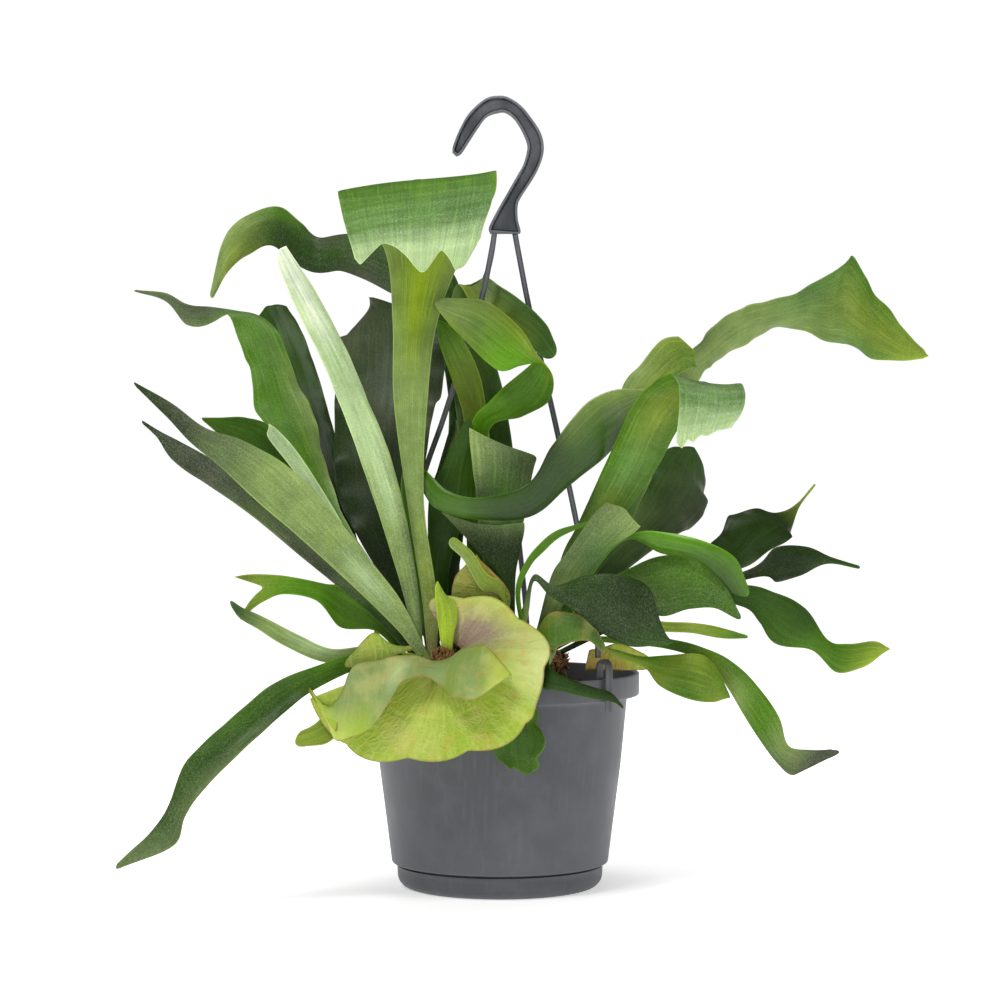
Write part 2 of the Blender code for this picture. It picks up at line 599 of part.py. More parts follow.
def main():
    """Build the pot, the hanger and every frond."""
    clear_scene()
    collection = bpy.data.collections.new("staghorn_fern_in_hanging_pot")
    bpy.context.scene.collection.children.link(collection)

    pot_profile = (
        (RIM_RADIUS, RIM_TOP), (RIM_RADIUS, RIM_BOTTOM + 1.0), (RIM_RADIUS - 1.0, RIM_BOTTOM),
        (BODY_TOP_RADIUS + 0.8, RIM_BOTTOM - 0.4), (BODY_TOP_RADIUS, RIM_BOTTOM - 1.6), (73.8, 76.0),
        (BODY_FOOT_RADIUS, FOOT_STEP_HEIGHT + 0.8), (BODY_FOOT_RADIUS - 1.0, FOOT_STEP_HEIGHT),
        (PLUG_RADIUS, FOOT_STEP_HEIGHT), (PLUG_RADIUS - 0.6, POT_UNDERSIDE), (0.0, POT_UNDERSIDE),
    )
    turned("pot", pot_profile, "pot_plastic", collection, wall=WALL)
    saucer_profile = (
        (SAUCER_RADIUS, SAUCER_HEIGHT), (SAUCER_RADIUS - 0.4, 3.0), (SAUCER_RADIUS - 1.4, 0.9),
        (SAUCER_RADIUS - 3.4, 0.0), (0.0, 0.0),
    )
    turned("saucer", saucer_profile, "pot_plastic", collection, wall=0.9)
    mix_profile = (
        (0.0, MIX_TOP), (60.0, MIX_TOP - 1.0), (75.0, MIX_TOP - 4.0), (71.4, 76.0), (63.2, 17.4),
        (57.6, 17.0), (57.6, 5.0), (0.0, 5.0),
    )
    turned("potting_mix", mix_profile, "bark_mix", collection)

    hook("hanging_hook", "hanger_plastic", collection)
    for name, path in STRANDS.items():
        strand(name, path, "hanger_plastic", collection)
    for side, degrees in zip(("right", "left", "back"), CLIP_ANGLES):
        clip("rim_clip_" + side, math.radians(degrees), "hanger_plastic", collection)

    for name, (centre, half_sizes) in RHIZOMES.items():
        lump(name, centre, half_sizes, "rhizome_scales", collection)
    for name, (material, cup, stations) in FRONDS.items():
        margins = spread(np.asarray(stations, float).reshape(-1, 2, 3)).reshape(-1, 6)
        blade(name, material, cup, margins, collection)


main()
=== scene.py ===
"""Looks of a staghorn fern growing in a hanging pot with a moulded hook hanger.

Every length is in millimetres until it enters a mesh. The pot stands on the origin, +Z is up and the
front is toward -Y. Each frond is one leathery blade, worked out as a surface of two parameters: u runs
across the blade from its left margin to its right one, and t runs from its base to its tip.
"""

from __future__ import annotations

import logging
import math
from dataclasses import dataclass, field
from enum import Enum
from typing import Iterable, Sequence

import bpy
import numpy as np
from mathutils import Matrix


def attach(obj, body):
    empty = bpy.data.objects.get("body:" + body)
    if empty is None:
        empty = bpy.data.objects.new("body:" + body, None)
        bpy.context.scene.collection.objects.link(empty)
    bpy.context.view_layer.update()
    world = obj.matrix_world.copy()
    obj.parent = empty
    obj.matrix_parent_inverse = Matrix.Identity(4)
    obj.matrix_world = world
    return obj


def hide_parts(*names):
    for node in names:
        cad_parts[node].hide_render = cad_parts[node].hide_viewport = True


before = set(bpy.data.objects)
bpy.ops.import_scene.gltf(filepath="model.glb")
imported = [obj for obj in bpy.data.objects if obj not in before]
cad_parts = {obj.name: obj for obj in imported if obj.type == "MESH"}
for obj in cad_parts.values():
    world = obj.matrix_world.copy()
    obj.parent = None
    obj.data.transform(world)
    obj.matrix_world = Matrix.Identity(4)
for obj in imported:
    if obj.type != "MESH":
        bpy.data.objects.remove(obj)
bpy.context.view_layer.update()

MM = 0.001
EYE_DISTANCE = 1830.0
EYE_HEIGHT = 284.0
LOG = logging.getLogger("staghorn_fern")

Array = np.ndarray
Point = tuple[float, float, float]
Station = tuple[float, float, float, float, float, float]
Socket = bpy.types.NodeSocket
Inputs = dict[str | int, object]


# --------------------------------------------------------------------------------------
# Colours
# --------------------------------------------------------------------------------------


def linear(hex_colour: str, alpha: float = 1.0) -> tuple[float, float, float, float]:
    """Turn an sRGB hex colour into linear values.

    Args:
        hex_colour: Colour as "#rrggbb".
        alpha: Fourth value to put behind the three.

    Returns:
        Red, green, blue and alpha, linear.
    """
    parts = [int(hex_colour[i : i + 2], 16) / 255 for i in (1, 3, 5)]
    straight = [c / 12.92 if c <= 0.04045 else ((c + 0.055) / 1.055) ** 2.4 for c in parts]
    return (straight[0], straight[1], straight[2], alpha)


class Tone(Enum):
    """Colours that the living fronds show, from bare sunlit green to felted white, and SHADE, painted shade
    for frond parts deep inside the plant.
    """

    LIME = "#93ad22"
    YELLOW = "#aebf4a"
    BRIGHT = "#578c06"
    LEAF = "#48720c"
    MID = "#3b5f0e"
    DEEP = "#2a480c"
    DARK = "#1e320b"
    # painted shade: near-black green where fronds lie in the plant's dark interior
    SHADE = "#19260c"
    GRASS = "#547a35"
    OLIVE = "#768a2c"
    GREY = "#586b3e"
    SLATE = "#424a36"
    SAGE = "#7a914e"
    SILVER = "#a6c08a"
    FELT = "#d8e3cb"
    KHAKI = "#7f7d42"
    AMBER = "#a9872f"
    PLUM = "#8d7468"
    CREAM = "#c8cf86"


def tone_rows(text: str) -> list[Array]:
    """Read a list of tones along a blade, each entry one to three tones across it.

    Args:
        text: Names of tones, a comma between rows, and x and a number behind a row that is repeated.

    Returns:
        One array of linear colours per row, from the blade's left margin to its right one.
    """
    rows: list[Array] = []
    for entry in text.split(","):
        names = entry.split()
        times = int(names.pop()[1:]) if names[-1].startswith("x") else 1
        rows += [np.array([linear(Tone[name].value) for name in names])] * times
    return rows


# --------------------------------------------------------------------------------------
# Meshes from numpy surfaces
# --------------------------------------------------------------------------------------


def through_stations(stations: Array, t: Array) -> Array:
    """Evaluate a Catmull-Rom curve through listed stations.

    Between stations b and c, with a before and d after, the point at share f is half of
    2b + (c - a) f + (2a - 5b + 4c - d) f^2 + (3b - a - 3c + d) f^3. Past either end the curve
    runs on straight.

    Args:
        stations: Points, one per row, any number of values each.
        t: Places along the curve in station units, any shape.

    Returns:
        The points, with the shape of t and one more axis.
    """
    points = np.asarray(stations, float)
    last = len(points) - 1
    padded = np.vstack([2 * points[0] - points[1], points, 2 * points[-1] - points[-2]])
    i = np.clip(np.floor(t).astype(int), 0, last - 1)
    share = (t - i)[..., None]
    f = np.clip(share, 0.0, 1.0)
    a, b, c, d = padded[i], padded[i + 1], padded[i + 2], padded[i + 3]
    cubic = 0.5 * (2 * b + (c - a) * f + (2 * a - 5 * b + 4 * c - d) * f**2 + (3 * b - a - 3 * c + d) * f**3)
    return cubic + (share - f) * 0.5 * np.where(share < 0.0, c - a, d - b)


def unit(vectors: Array) -> Array:
    """Scale vectors on the last axis to length one."""
    return vectors / np.maximum(np.linalg.norm(vectors, axis=-1, keepdims=True), 1e-9)


def smooth(value: Array, low: float, high: float) -> Array:
    """Rise from 0 at low to 1 at high with level ends: 3x^2 - 2x^3."""
    x = np.clip((value - low) / (high - low), 0.0, 1.0)
    return x * x * (3 - 2 * x)


def spread(points: Array) -> Array:
    """Lean points apart in depth and keep the outline that the plant shows from the front.

    The hanger's front strands lie about in a plane that leans back with height. A point's distance from
    it is multiplied: in front by 1 + 0.6 of its rise and 0.5 of its reach to the side, behind by
    1 + 1.6 of the product of both. It then moves in or out along its sight line to the camera.

    Args:
        points: Points on the last axis, in millimetres.

    Returns:
        The moved points.
    """
    x, y, z = points[..., 0], points[..., 1], points[..., 2]
    slope = 0.083 + 0.127 * smooth(x, -10.0, 15.0) * (1.0 - smooth(x, 60.0, 110.0))
    plane = -2.0 - (396.0 - z) * slope
    outer = smooth(np.abs(x), 60.0, 200.0) * smooth(z, 130.0, 190.0)
    forward = 0.6 * smooth(z, 150.0, 300.0) + 0.5 * outer
    backward = 1.6 * smooth(np.abs(x), 40.0, 140.0) * smooth(z, 170.0, 300.0)
    moved = y + (y - plane) * np.where(y < plane, forward, backward)
    closer = (EYE_DISTANCE + moved) / (EYE_DISTANCE + y)
    return np.stack([x * closer, moved, EYE_HEIGHT + (z - EYE_HEIGHT) * closer], -1)


def grid_quads(index: Array) -> Array:
    """List the quads of a grid of vertex numbers, anticlockwise from the side its normals point to."""
    return np.stack([index[:-1, :-1], index[:-1, 1:], index[1:, 1:], index[1:, :-1]], -1).reshape(-1, 4)


def make_mesh(name: str, verts: Array, faces: Iterable[Array]) -> bpy.types.Mesh:
    """Put whole arrays into a new smooth-shaded mesh.

    Args:
        name: Name of the mesh.
        verts: Vertices in millimetres, one per row.
        faces: Arrays of vertex numbers, one face per row, each array with faces of one size.

    Returns:
        The mesh, in metres.
    """
    mesh = bpy.data.meshes.new(name)
    blocks = [np.asarray(block, np.int32) for block in faces if len(block)]
    loops = np.concatenate([block.ravel() for block in blocks])
    sizes = np.concatenate([np.full(len(block), block.shape[1], np.int32) for block in blocks])
    mesh.vertices.add(len(verts))
    mesh.vertices.foreach_set("co", (np.asarray(verts, float) * MM).astype(np.float32).ravel())
    mesh.loops.add(len(loops))
    mesh.loops.foreach_set("vertex_index", loops)
    mesh.polygons.add(len(sizes))
    mesh.polygons.foreach_set("loop_start", np.concatenate([[0], np.cumsum(sizes)[:-1]]).astype(np.int32))
    mesh.update(calc_edges=True)
    mesh.validate()
    mesh.shade_smooth()
    return mesh


def closed_shell(front: Array, back: Array) -> tuple[Array, Array]:
    """Join two equal grids into one closed shell, with a wall of quads round their border.

    Args:
        front: Grid of points (rows, columns, 3) whose normals point outwards.
        back: Grid of the same size on the other side.

    Returns:
        Vertices and quads. The front grid's vertices come first.
    """
    rows, columns = front.shape[:2]
    count = rows * columns
    index = np.arange(count).reshape(rows, columns)
    border = np.concatenate([index[0, :], index[1:, -1], index[-1, -2::-1], index[-2:0:-1, 0]])
    ahead = np.roll(border, -1)
    wall = np.stack([ahead, border, border + count, ahead + count], -1)
    verts = np.concatenate([front.reshape(-1, 3), back.reshape(-1, 3)])
    return verts, np.concatenate([grid_quads(index), grid_quads(index + count)[:, ::-1], wall])


def add_values(mesh: bpy.types.Mesh, name: str, values: Array) -> None:
    """Store one number or one linear colour per vertex under that name."""
    kind = "FLOAT" if values.ndim == 1 else "FLOAT_COLOR"
    attribute = mesh.attributes.new(name, kind, "POINT")
    attribute.data.foreach_set("value" if values.ndim == 1 else "color", values.astype(np.float32).ravel())


def add_uv(mesh: bpy.types.Mesh, per_vertex: Array) -> None:
    """Give the mesh a UV map named surface_mm from one pair of numbers per vertex."""
    corners = np.zeros(len(mesh.loops), np.int32)
    mesh.loops.foreach_get("vertex_index", corners)
    layer = mesh.uv_layers.new(name="surface_mm")
    layer.data.foreach_set("uv", per_vertex[corners].astype(np.float32).ravel())


def ring_quads(index: Array) -> Array:
    """List the quads between rings of vertex numbers, each ring closed on its own start."""
    return grid_quads(np.concatenate([index, index[:, :1]], axis=1))


def capped_rings(rings: Array, low: Array, high: Array) -> tuple[Array, list[Array]]:
    """Join closed rings of points one to the next, and close both ends with a fan.

    Args:
        rings: Points (rings, sides, 3).
        low: Point that closes the first ring.
        high: Point that closes the last one.

    Returns:
        Vertices and face arrays.
    """
    rows, sides = rings.shape[:2]
    count = rows * sides
    index = np.arange(count).reshape(rows, sides)
    first, final = index[0], index[-1]
    fans = [np.stack([np.roll(first, -1), first, np.full(sides, count)], -1),
            np.stack([final, np.roll(final, -1), np.full(sides, count + 1)], -1)]
    return np.concatenate([rings.reshape(-1, 3), [low, high]]), [ring_quads(index), *fans]


def turned_surface(profile: Array, segments: int) -> tuple[Array, list[Array]]:
    """Turn an (r, z) profile about Z: x = r cos a, y = r sin a.

    Args:
        profile: Points from the axis out and back to the axis, down the inside and up the outside.
        segments: Number of steps round the axis.

    Returns:
        Vertices and face arrays.
    """
    angle = np.linspace(0.0, math.tau, segments, endpoint=False)
    r, z = profile[1:-1, :1], profile[1:-1, 1:]
    x = r * np.cos(angle)
    rings = np.stack([x, r * np.sin(angle), np.broadcast_to(z, x.shape)], -1)
    return capped_rings(rings, np.array([0, 0, profile[0, 1]]), np.array([0, 0, profile[-1, 1]]))


def rounded_profile(corners: Sequence[Point], steps: int = 5) -> Array:
    """Round each corner of an open outline with a quadratic curve.

    The curve leaves the sides at the corner's radius from it and is (1-s)^2 p + 2 s (1-s) c + s^2 q.

    Args:
        corners: Points (r, z, radius).
        steps: Points on each rounded corner.

    Returns:
        The outline's points (r, z).
    """
    points = np.array([corner[:2] for corner in corners], float)
    out = [points[0]]
    share = np.linspace(0.0, 1.0, steps)[:, None]
    for before, corner, after, size in zip(points, points[1:], points[2:], [c[2] for c in corners[1:]]):
        reach = min(size, 0.49 * np.linalg.norm(before - corner), 0.49 * np.linalg.norm(after - corner))
        if reach < 0.01:
            out.append(corner)
            continue
        start = corner + unit(before - corner) * reach
        end = corner + unit(after - corner) * reach
        out.extend((1 - share) ** 2 * start + 2 * share * (1 - share) * corner + share**2 * end)
    out.append(points[-1])
    return np.array(out)


def run_lengths(path: Array) -> Array:
    """Length of a path from its start to each of its points."""
    return np.concatenate([[0.0], np.cumsum(np.linalg.norm(np.diff(path, axis=0), axis=1))])


def swept_tube(path: Array, side: Array, section: Array) -> tuple[Array, list[Array]]:
    """Carry a closed section along a path.

    A point is the path point + section x times the side vector + section y times side x direction.

    Args:
        path: Points along the middle, one per row.
        side: Vectors, one per path point, that the section's x follows.
        section: Closed outline (x, y), without its first point repeated.

    Returns:
        Vertices and face arrays, with a flat cap at each end.
    """
    along = unit(np.gradient(path, axis=0))
    across = unit(side - along * np.sum(side * along, axis=1, keepdims=True))
    up = np.cross(across, along)
    rings = path[:, None] + across[:, None] * section[None, :, :1] + up[:, None] * section[None, :, 1:]
    rows, sides = rings.shape[:2]
    index = np.arange(rows * sides).reshape(rows, sides)
    return rings.reshape(-1, 3), [ring_quads(index)[:, ::-1], index[:1], index[-1:, ::-1]]


# --------------------------------------------------------------------------------------
# Materials
# --------------------------------------------------------------------------------------


@dataclass(frozen=True)
class Nodes:
    """A node tree in the making, and short ways to add what its patterns are mixed from."""

    tree: bpy.types.NodeTree

    def fill(self, target: bpy.types.Node, inputs: Inputs) -> None:
        """Link every value that is a socket of another node, and set the others where they go in."""
        for key, value in inputs.items():
            if isinstance(value, Socket):
                self.tree.links.new(value, target.inputs[key])
            else:
                target.inputs[key].default_value = value

    def add(self, kind: str, inputs: Inputs | None = None, out: int | str = 0, **settings: str) -> Socket:
        """Add one node.

        Args:
            kind: Node type without the ShaderNode in front.
            inputs: Values for its sockets, as fill takes them.
            out: Which output to hand back.
            settings: Properties of the node.

        Returns:
            That output.
        """
        new = self.tree.nodes.new("ShaderNode" + kind)
        for key, value in settings.items():
            setattr(new, key, value)
        self.fill(new, inputs or {})
        return new.outputs[out]

    def place(self) -> Socket:
        """Object coordinates, in metres."""
        return self.add("TexCoord", out="Object")

    def flow(self) -> Socket:
        """Coordinates that follow the blade: millimetres across it and along it."""
        return self.add("UVMap", uv_map="surface_mm")

    def stored(self, name: str, out: str = "Fac") -> Socket:
        """Values that the mesh carries at its vertices under that name."""
        return self.add("Attribute", out=out, attribute_name=name)

    def stretched(self, vector: Socket, scale: Point) -> Socket:
        """Coordinates scaled by three numbers."""
        return self.add("Mapping", {"Vector": vector, "Scale": scale})

    def noise(self, vector: Socket, scale: float = 1.0, detail: float = 4.0, **more: float) -> Socket:
        """Cloudy noise whose patches are about 1 / scale across."""
        return self.add("TexNoise", {"Vector": vector, "Scale": scale, "Detail": detail, **more})

    def meshes(self, vector: Socket) -> Socket:
        """Distance to the nearest line of an irregular net whose meshes are about 1 across."""
        return self.add("TexVoronoi", {"Vector": vector, "Scale": 1.0}, feature="DISTANCE_TO_EDGE")

    def maths(self, operation: str, *values: Socket | float) -> Socket:
        """Result of an operation on one to three values."""
        return self.add("Math", dict(enumerate(values)), operation=operation)

    def ranged(self, value: Socket, low: float, high: float, to_low: float, to_high: float) -> Socket:
        """Map values from low..high to to_low..to_high with smooth ends."""
        inputs = {"Value": value, 1: low, 2: high, 3: to_low, 4: to_high}
        return self.add("MapRange", inputs, interpolation_type="SMOOTHSTEP")

    def mixed(self, share: Socket | float, first: object, second: object, blend: str = "MIX") -> Socket:
        """Blend two colours by a share, in the named way."""
        return self.add("Mix", {0: share, 6: first, 7: second}, 2, data_type="RGBA", blend_type=blend)

    def tinted(self, colour: Socket, red: float, green: float, blue: float) -> Socket:
        """The colour times three numbers."""
        return self.mixed(1.0, colour, (red, green, blue, 1.0), "MULTIPLY")

    def bump(self, strength: float, depth: float, height: Socket) -> Socket:
        """Normals of a relief that is depth millimetres deep."""
        return self.add("Bump", {"Strength": strength, "Distance": depth * MM, "Height": height})


def per_metre(size_mm: float) -> float:
    """Scale that makes a pattern's cells about size_mm across on coordinates in metres."""
    return 1.0 / (size_mm * MM)


@dataclass(frozen=True)
class Skin:
    """What every finish has: a name, and a recipe that gives the Principled shader its inputs."""

    name: str

    def recipe(self, mix: Nodes) -> Inputs:
        """Add the finish's patterns and return the shader's inputs by name."""
        raise NotImplementedError

    def material(self) -> bpy.types.Material:
        """Return the material of this name, made on first use."""
        made = bpy.data.materials.get(self.name)
        if made:
            return made
        made = bpy.data.materials.new(self.name)
        made.use_nodes = True
        mix = Nodes(made.node_tree)
        mix.fill(made.node_tree.nodes["Principled BSDF"], self.recipe(mix))
        return made


@dataclass(frozen=True)
class LeatheryFrond(Skin):
    """Fertile frond of a staghorn fern: a thick waxy skin under a felt of fine white star hairs.

    The skin gives a broad soft shine; the hairs dull it and turn it silvery where they are whole. Veins run
    along the blade and show as faint pale lines about 1.5 mm apart.
    """

    roughness: float = 0.5
    vein_depth: float = 0.25
    vein_spacing: float = 1.6
    vein_length: float = 34.0
    mottle_size: float = 24.0
    hair_tuft: float = 0.8
    hair_patch: float = 9.0
    hairs: str = "#d3dbc6"
    margin_width: float = 0.55
    shine: float = 0.2

    def recipe(self, mix: Nodes) -> Inputs:
        """Mottle the skin, draw the veins, scatter the hairs and pale the margin."""
        place = mix.place()
        skin = mix.stored("skin", "Color")

        # broad mottling of the green, broken by smaller patches
        mottle = mix.noise(place, per_metre(self.mottle_size), Roughness=0.6)
        dark = mix.tinted(skin, 0.78, 0.8, 0.75)
        light = mix.tinted(skin, 1.1, 1.08, 1.0)
        colour = mix.mixed(mix.ranged(mottle, 0.34, 0.64, 0.0, 1.0), dark, light)

        # veins: noise stretched along the blade, so the lines fork and fade as real ones do
        along = mix.stretched(mix.flow(), (1 / self.vein_spacing, 1 / self.vein_length, 1.0))
        lines = mix.noise(along, detail=3.0, Roughness=0.55, Distortion=0.25)
        pale = mix.tinted(skin, 1.7, 1.6, 1.5)
        deep = mix.tinted(skin, 0.5, 0.55, 0.5)
        colour = mix.mixed(mix.ranged(lines, 0.5, 0.75, 0.0, 0.6), colour, pale)
        colour = mix.mixed(mix.ranged(lines, 0.5, 0.28, 0.0, 0.5), colour, deep)

        # star hairs: tufts too fine to show singly are drawn as specks about a millimetre across
        tufts = mix.noise(place, per_metre(self.hair_tuft), 2.0, Roughness=0.7)
        patches = mix.noise(place, per_metre(self.hair_patch), 3.0)
        specks = mix.ranged(tufts, 0.42, 0.72, 0.0, 1.0)
        cover = mix.maths("MULTIPLY", specks, mix.ranged(patches, 0.35, 0.65, 0.65, 1.0))
        cover = mix.maths("MULTIPLY", cover, mix.stored("felt"))
        colour = mix.mixed(cover, colour, linear(self.hairs))
        colour = mix.mixed(mix.ranged(tufts, 0.5, 0.3, 0.0, 0.4), colour, deep)
        edge = mix.ranged(mix.stored("margin"), self.margin_width * 1.5, self.margin_width * 0.5, 0.0, 0.6)
        relief = mix.maths("MULTIPLY_ADD", tufts, 0.35, lines)
        return {
            "Base Color": mix.mixed(edge, colour, pale),
            "Roughness": mix.ranged(cover, 0.0, 0.5, self.roughness, min(self.roughness + 0.3, 0.9)),
            "Normal": mix.bump(0.6, self.vein_depth, relief),
            "IOR": 1.4,
            "Specular IOR Level": self.shine,
        }


@dataclass(frozen=True)
class PaperyShield(Skin):
    """Sterile shield frond: thin crisp tissue with a raised net of veins, ageing to tan and brown.

    The net's meshes are about 3 by 6 mm, drawn out along the shield, with a finer net between them. Pale
    and darker rays run along the shield, and tan stains, straw-coloured clouds and a brown margin show
    where it dries first.
    """

    roughness: float = 0.5
    mesh_across: float = 2.6
    mesh_out: float = 5.5
    vein_depth: float = 0.45
    net: float = 1.0
    stain: float = 0.35

    def recipe(self, mix: Nodes) -> Inputs:
        """Draw both nets and the rays along the shield, then stain, cloud and edge it."""
        place = mix.place()
        wander = mix.add("TexNoise", {"Vector": place, "Scale": per_metre(14.0), "Detail": 3.0}, "Color")
        shift = {0: wander, 1: (5.0, 5.0, 0.0), 2: mix.flow()}
        flow = mix.add("VectorMath", shift, operation="MULTIPLY_ADD")
        net = mix.meshes(mix.stretched(flow, (1 / self.mesh_out, 1 / self.mesh_across, 1.0)))
        fine = mix.meshes(mix.stretched(flow, (3.2 / self.mesh_out, 2.4 / self.mesh_across, 1.0)))
        rays = mix.noise(mix.stretched(flow, (1 / 45.0, 1 / 2.4, 1.0)))
        stain = mix.noise(place, per_metre(11.0), 5.0, Roughness=0.65)
        clouds = mix.noise(place, per_metre(20.0), 3.0)
        colour = mix.stored("skin", "Color")
        for share, tone in (
            (mix.ranged(net, 0.0, 0.12, 0.14 * self.net, 0.0), "#d3dd8e"),
            (mix.ranged(rays, 0.46, 0.7, 0.0, 0.22 * self.net), "#cdd884"),
            (mix.ranged(rays, 0.5, 0.3, 0.0, 0.25 * self.net), "#7c9434"),
            (mix.ranged(stain, 0.5, 0.72, 0.0, self.stain), "#c08a3e"),
            (mix.ranged(clouds, 0.5, 0.68, 0.0, 0.3), "#cfc878"),
            (mix.ranged(mix.stored("margin"), 1.3, 0.3, 0.0, 0.7), "#8c7a35"),
        ):
            colour = mix.mixed(share, colour, linear(tone))
        nets = mix.maths("ADD", mix.ranged(net, 0.0, 0.22, 0.6, 0.0), mix.ranged(fine, 0.0, 0.2, 0.2, 0.0))
        relief = mix.maths("MULTIPLY_ADD", rays, 2.2, nets)
        return {
            "Base Color": colour,
            "Roughness": self.roughness,
            "Normal": mix.bump(0.7, self.vein_depth, relief),
            "IOR": 1.42,
        }


@dataclass(frozen=True)
class MouldedPolypropylene(Skin):
    """Injection-moulded polypropylene, coloured through: a satin skin with a fine eggshell grain.

    Handling leaves pale scuffs on raised edges, and water leaves faint upright streaks. The same pale colour
    also paints highlights on the hanger's raised borders and strand crests.
    """

    colour: str
    scuff_and_highlight: str
    roughness: float = 0.46
    grain: float = 0.8
    shine: float = 0.3

    def recipe(self, mix: Nodes) -> Inputs:
        """Cloud, streak and rub the plastic, paint highlights on the hanger, and give it its grain."""
        place = mix.place()
        cloud = mix.noise(place, per_metre(26.0), 5.0, Roughness=0.6)
        streak = mix.noise(mix.stretched(place, (per_metre(3.0), per_metre(3.0), 9.0)))
        grain = mix.noise(place, per_metre(self.grain), 2.0)
        colour = linear(self.colour)
        for share in (
            mix.ranged(cloud, 0.4, 0.7, 0.0, 0.35),
            mix.ranged(streak, 0.52, 0.75, 0.0, 0.22),
            # pale scuffs on the pot's edges, and painted highlight on the hanger's raised borders and crests
            mix.maths("MULTIPLY", mix.stored("worn"), mix.ranged(grain, 0.35, 0.65, 0.7, 1.0)),
        ):
            colour = mix.mixed(share, colour, linear(self.scuff_and_highlight))
        return {
            "Base Color": colour,
            "Roughness": mix.ranged(cloud, 0.3, 0.7, self.roughness - 0.05, self.roughness + 0.08),
            "Normal": mix.bump(0.25, 0.12, grain),
            "IOR": 1.49,
            "Specular IOR Level": self.shine,
        }


@dataclass(frozen=True)
class RottedBark(Skin):
    """Composted pine bark: rough dark brown flakes with paler fibrous breaks."""

    dark: str = "#2a1d14"
    light: str = "#6b4a30"
    broken: str = "#8f6d4a"
    fibre: float = 1.2

    def recipe(self, mix: Nodes) -> Inputs:
        """Patch the bark dark and light, with fibres in the breaks."""
        place = mix.place()
        patch = mix.noise(place, per_metre(6.0), 5.0)
        fibre = mix.noise(mix.stretched(place, (1.0, 0.35, 0.6)), per_metre(self.fibre))
        colour = mix.mixed(mix.ranged(patch, 0.4, 0.66, 0.0, 1.0), linear(self.dark), linear(self.light))
        colour = mix.mixed(mix.ranged(fibre, 0.5, 0.75, 0.0, 0.5), colour, linear(self.broken))
        return {"Base Color": colour, "Roughness": 0.88, "Normal": mix.bump(0.8, 0.6, fibre)}


@dataclass(frozen=True)
class RhizomeScales(Skin):
    """Rusty papery scales over a creeping rhizome, pale at their tips."""

    base: str = "#4a2f18"
    tip: str = "#a97a45"

    def recipe(self, mix: Nodes) -> Inputs:
        """Pale the scales toward their tips, with fine specks."""
        speck = mix.noise(mix.place(), per_metre(1.5))
        share = mix.maths("MULTIPLY", mix.stored("tip"), mix.ranged(speck, 0.3, 0.7, 0.4, 1.0))
        colour = mix.mixed(share, linear(self.base), linear(self.tip))
        return {"Base Color": colour, "Roughness": 0.75, "Normal": mix.bump(0.5, 0.3, speck)}


class Finish(Enum):
    """Finishes of the fronds, each made once and shared."""

    GREEN = LeatheryFrond("frond_green_waxy_skin", roughness=0.46)
    DEEP = LeatheryFrond("frond_deep_green_waxy_skin", roughness=0.42)
    GLOSSY = LeatheryFrond("frond_glossy_bare_skin", roughness=0.3, vein_depth=0.12, shine=0.4)
    SILVER = LeatheryFrond("frond_silver_felted_skin", roughness=0.62)
    SHIELD = PaperyShield("shield_frond_netted_living_tissue")
    FELTED_SHIELD = PaperyShield("shield_frond_felted_living_tissue", net=0.25, stain=0.2, vein_depth=0.25)


def show_piece(
    stands_for: str, verts: Array, faces: Iterable[Array], finish: Skin, sharp: float = 180.0, **values: Array
) -> bpy.types.Mesh:
    """Show a surface as the piece that stands for a CAD node, with the finish's material.

    Args:
        stands_for: CAD node that it replaces.
        verts: Vertices in millimetres, as make_mesh takes them.
        faces: Faces, as make_mesh takes them.
        finish: What it is made of.
        sharp: Edges with a fold of more degrees than this are shaded sharp.
        values: Numbers or colours to store at the vertices, by name.

    Returns:
        The new piece's mesh.
    """
    mesh = make_mesh("visual_" + stands_for, verts, faces)
    for name, stored in values.items():
        add_values(mesh, name, stored)
    if sharp < 180.0:
        mesh.set_sharp_from_angle(angle=math.radians(sharp))
    mesh.materials.append(finish.material())
    piece = bpy.data.objects.new(mesh.name, mesh)
    bpy.context.scene.collection.objects.link(piece)
    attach(piece, "root")
    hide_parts(stands_for)
    LOG.info("%s stands for %s with %d faces", mesh.name, stands_for, len(mesh.polygons))
    return mesh


# --------------------------------------------------------------------------------------
# Fronds
# --------------------------------------------------------------------------------------


CUP_SHARE = 0.08
WAVE_SHARE = 0.055
WAVE_POWER = 2.6
ROLL_SHARE = 0.014
BAR_SPACING = 6.5
BACK_OFFSET = 400.0
ROWS = (30, 260)
COLUMNS = (10, 64)


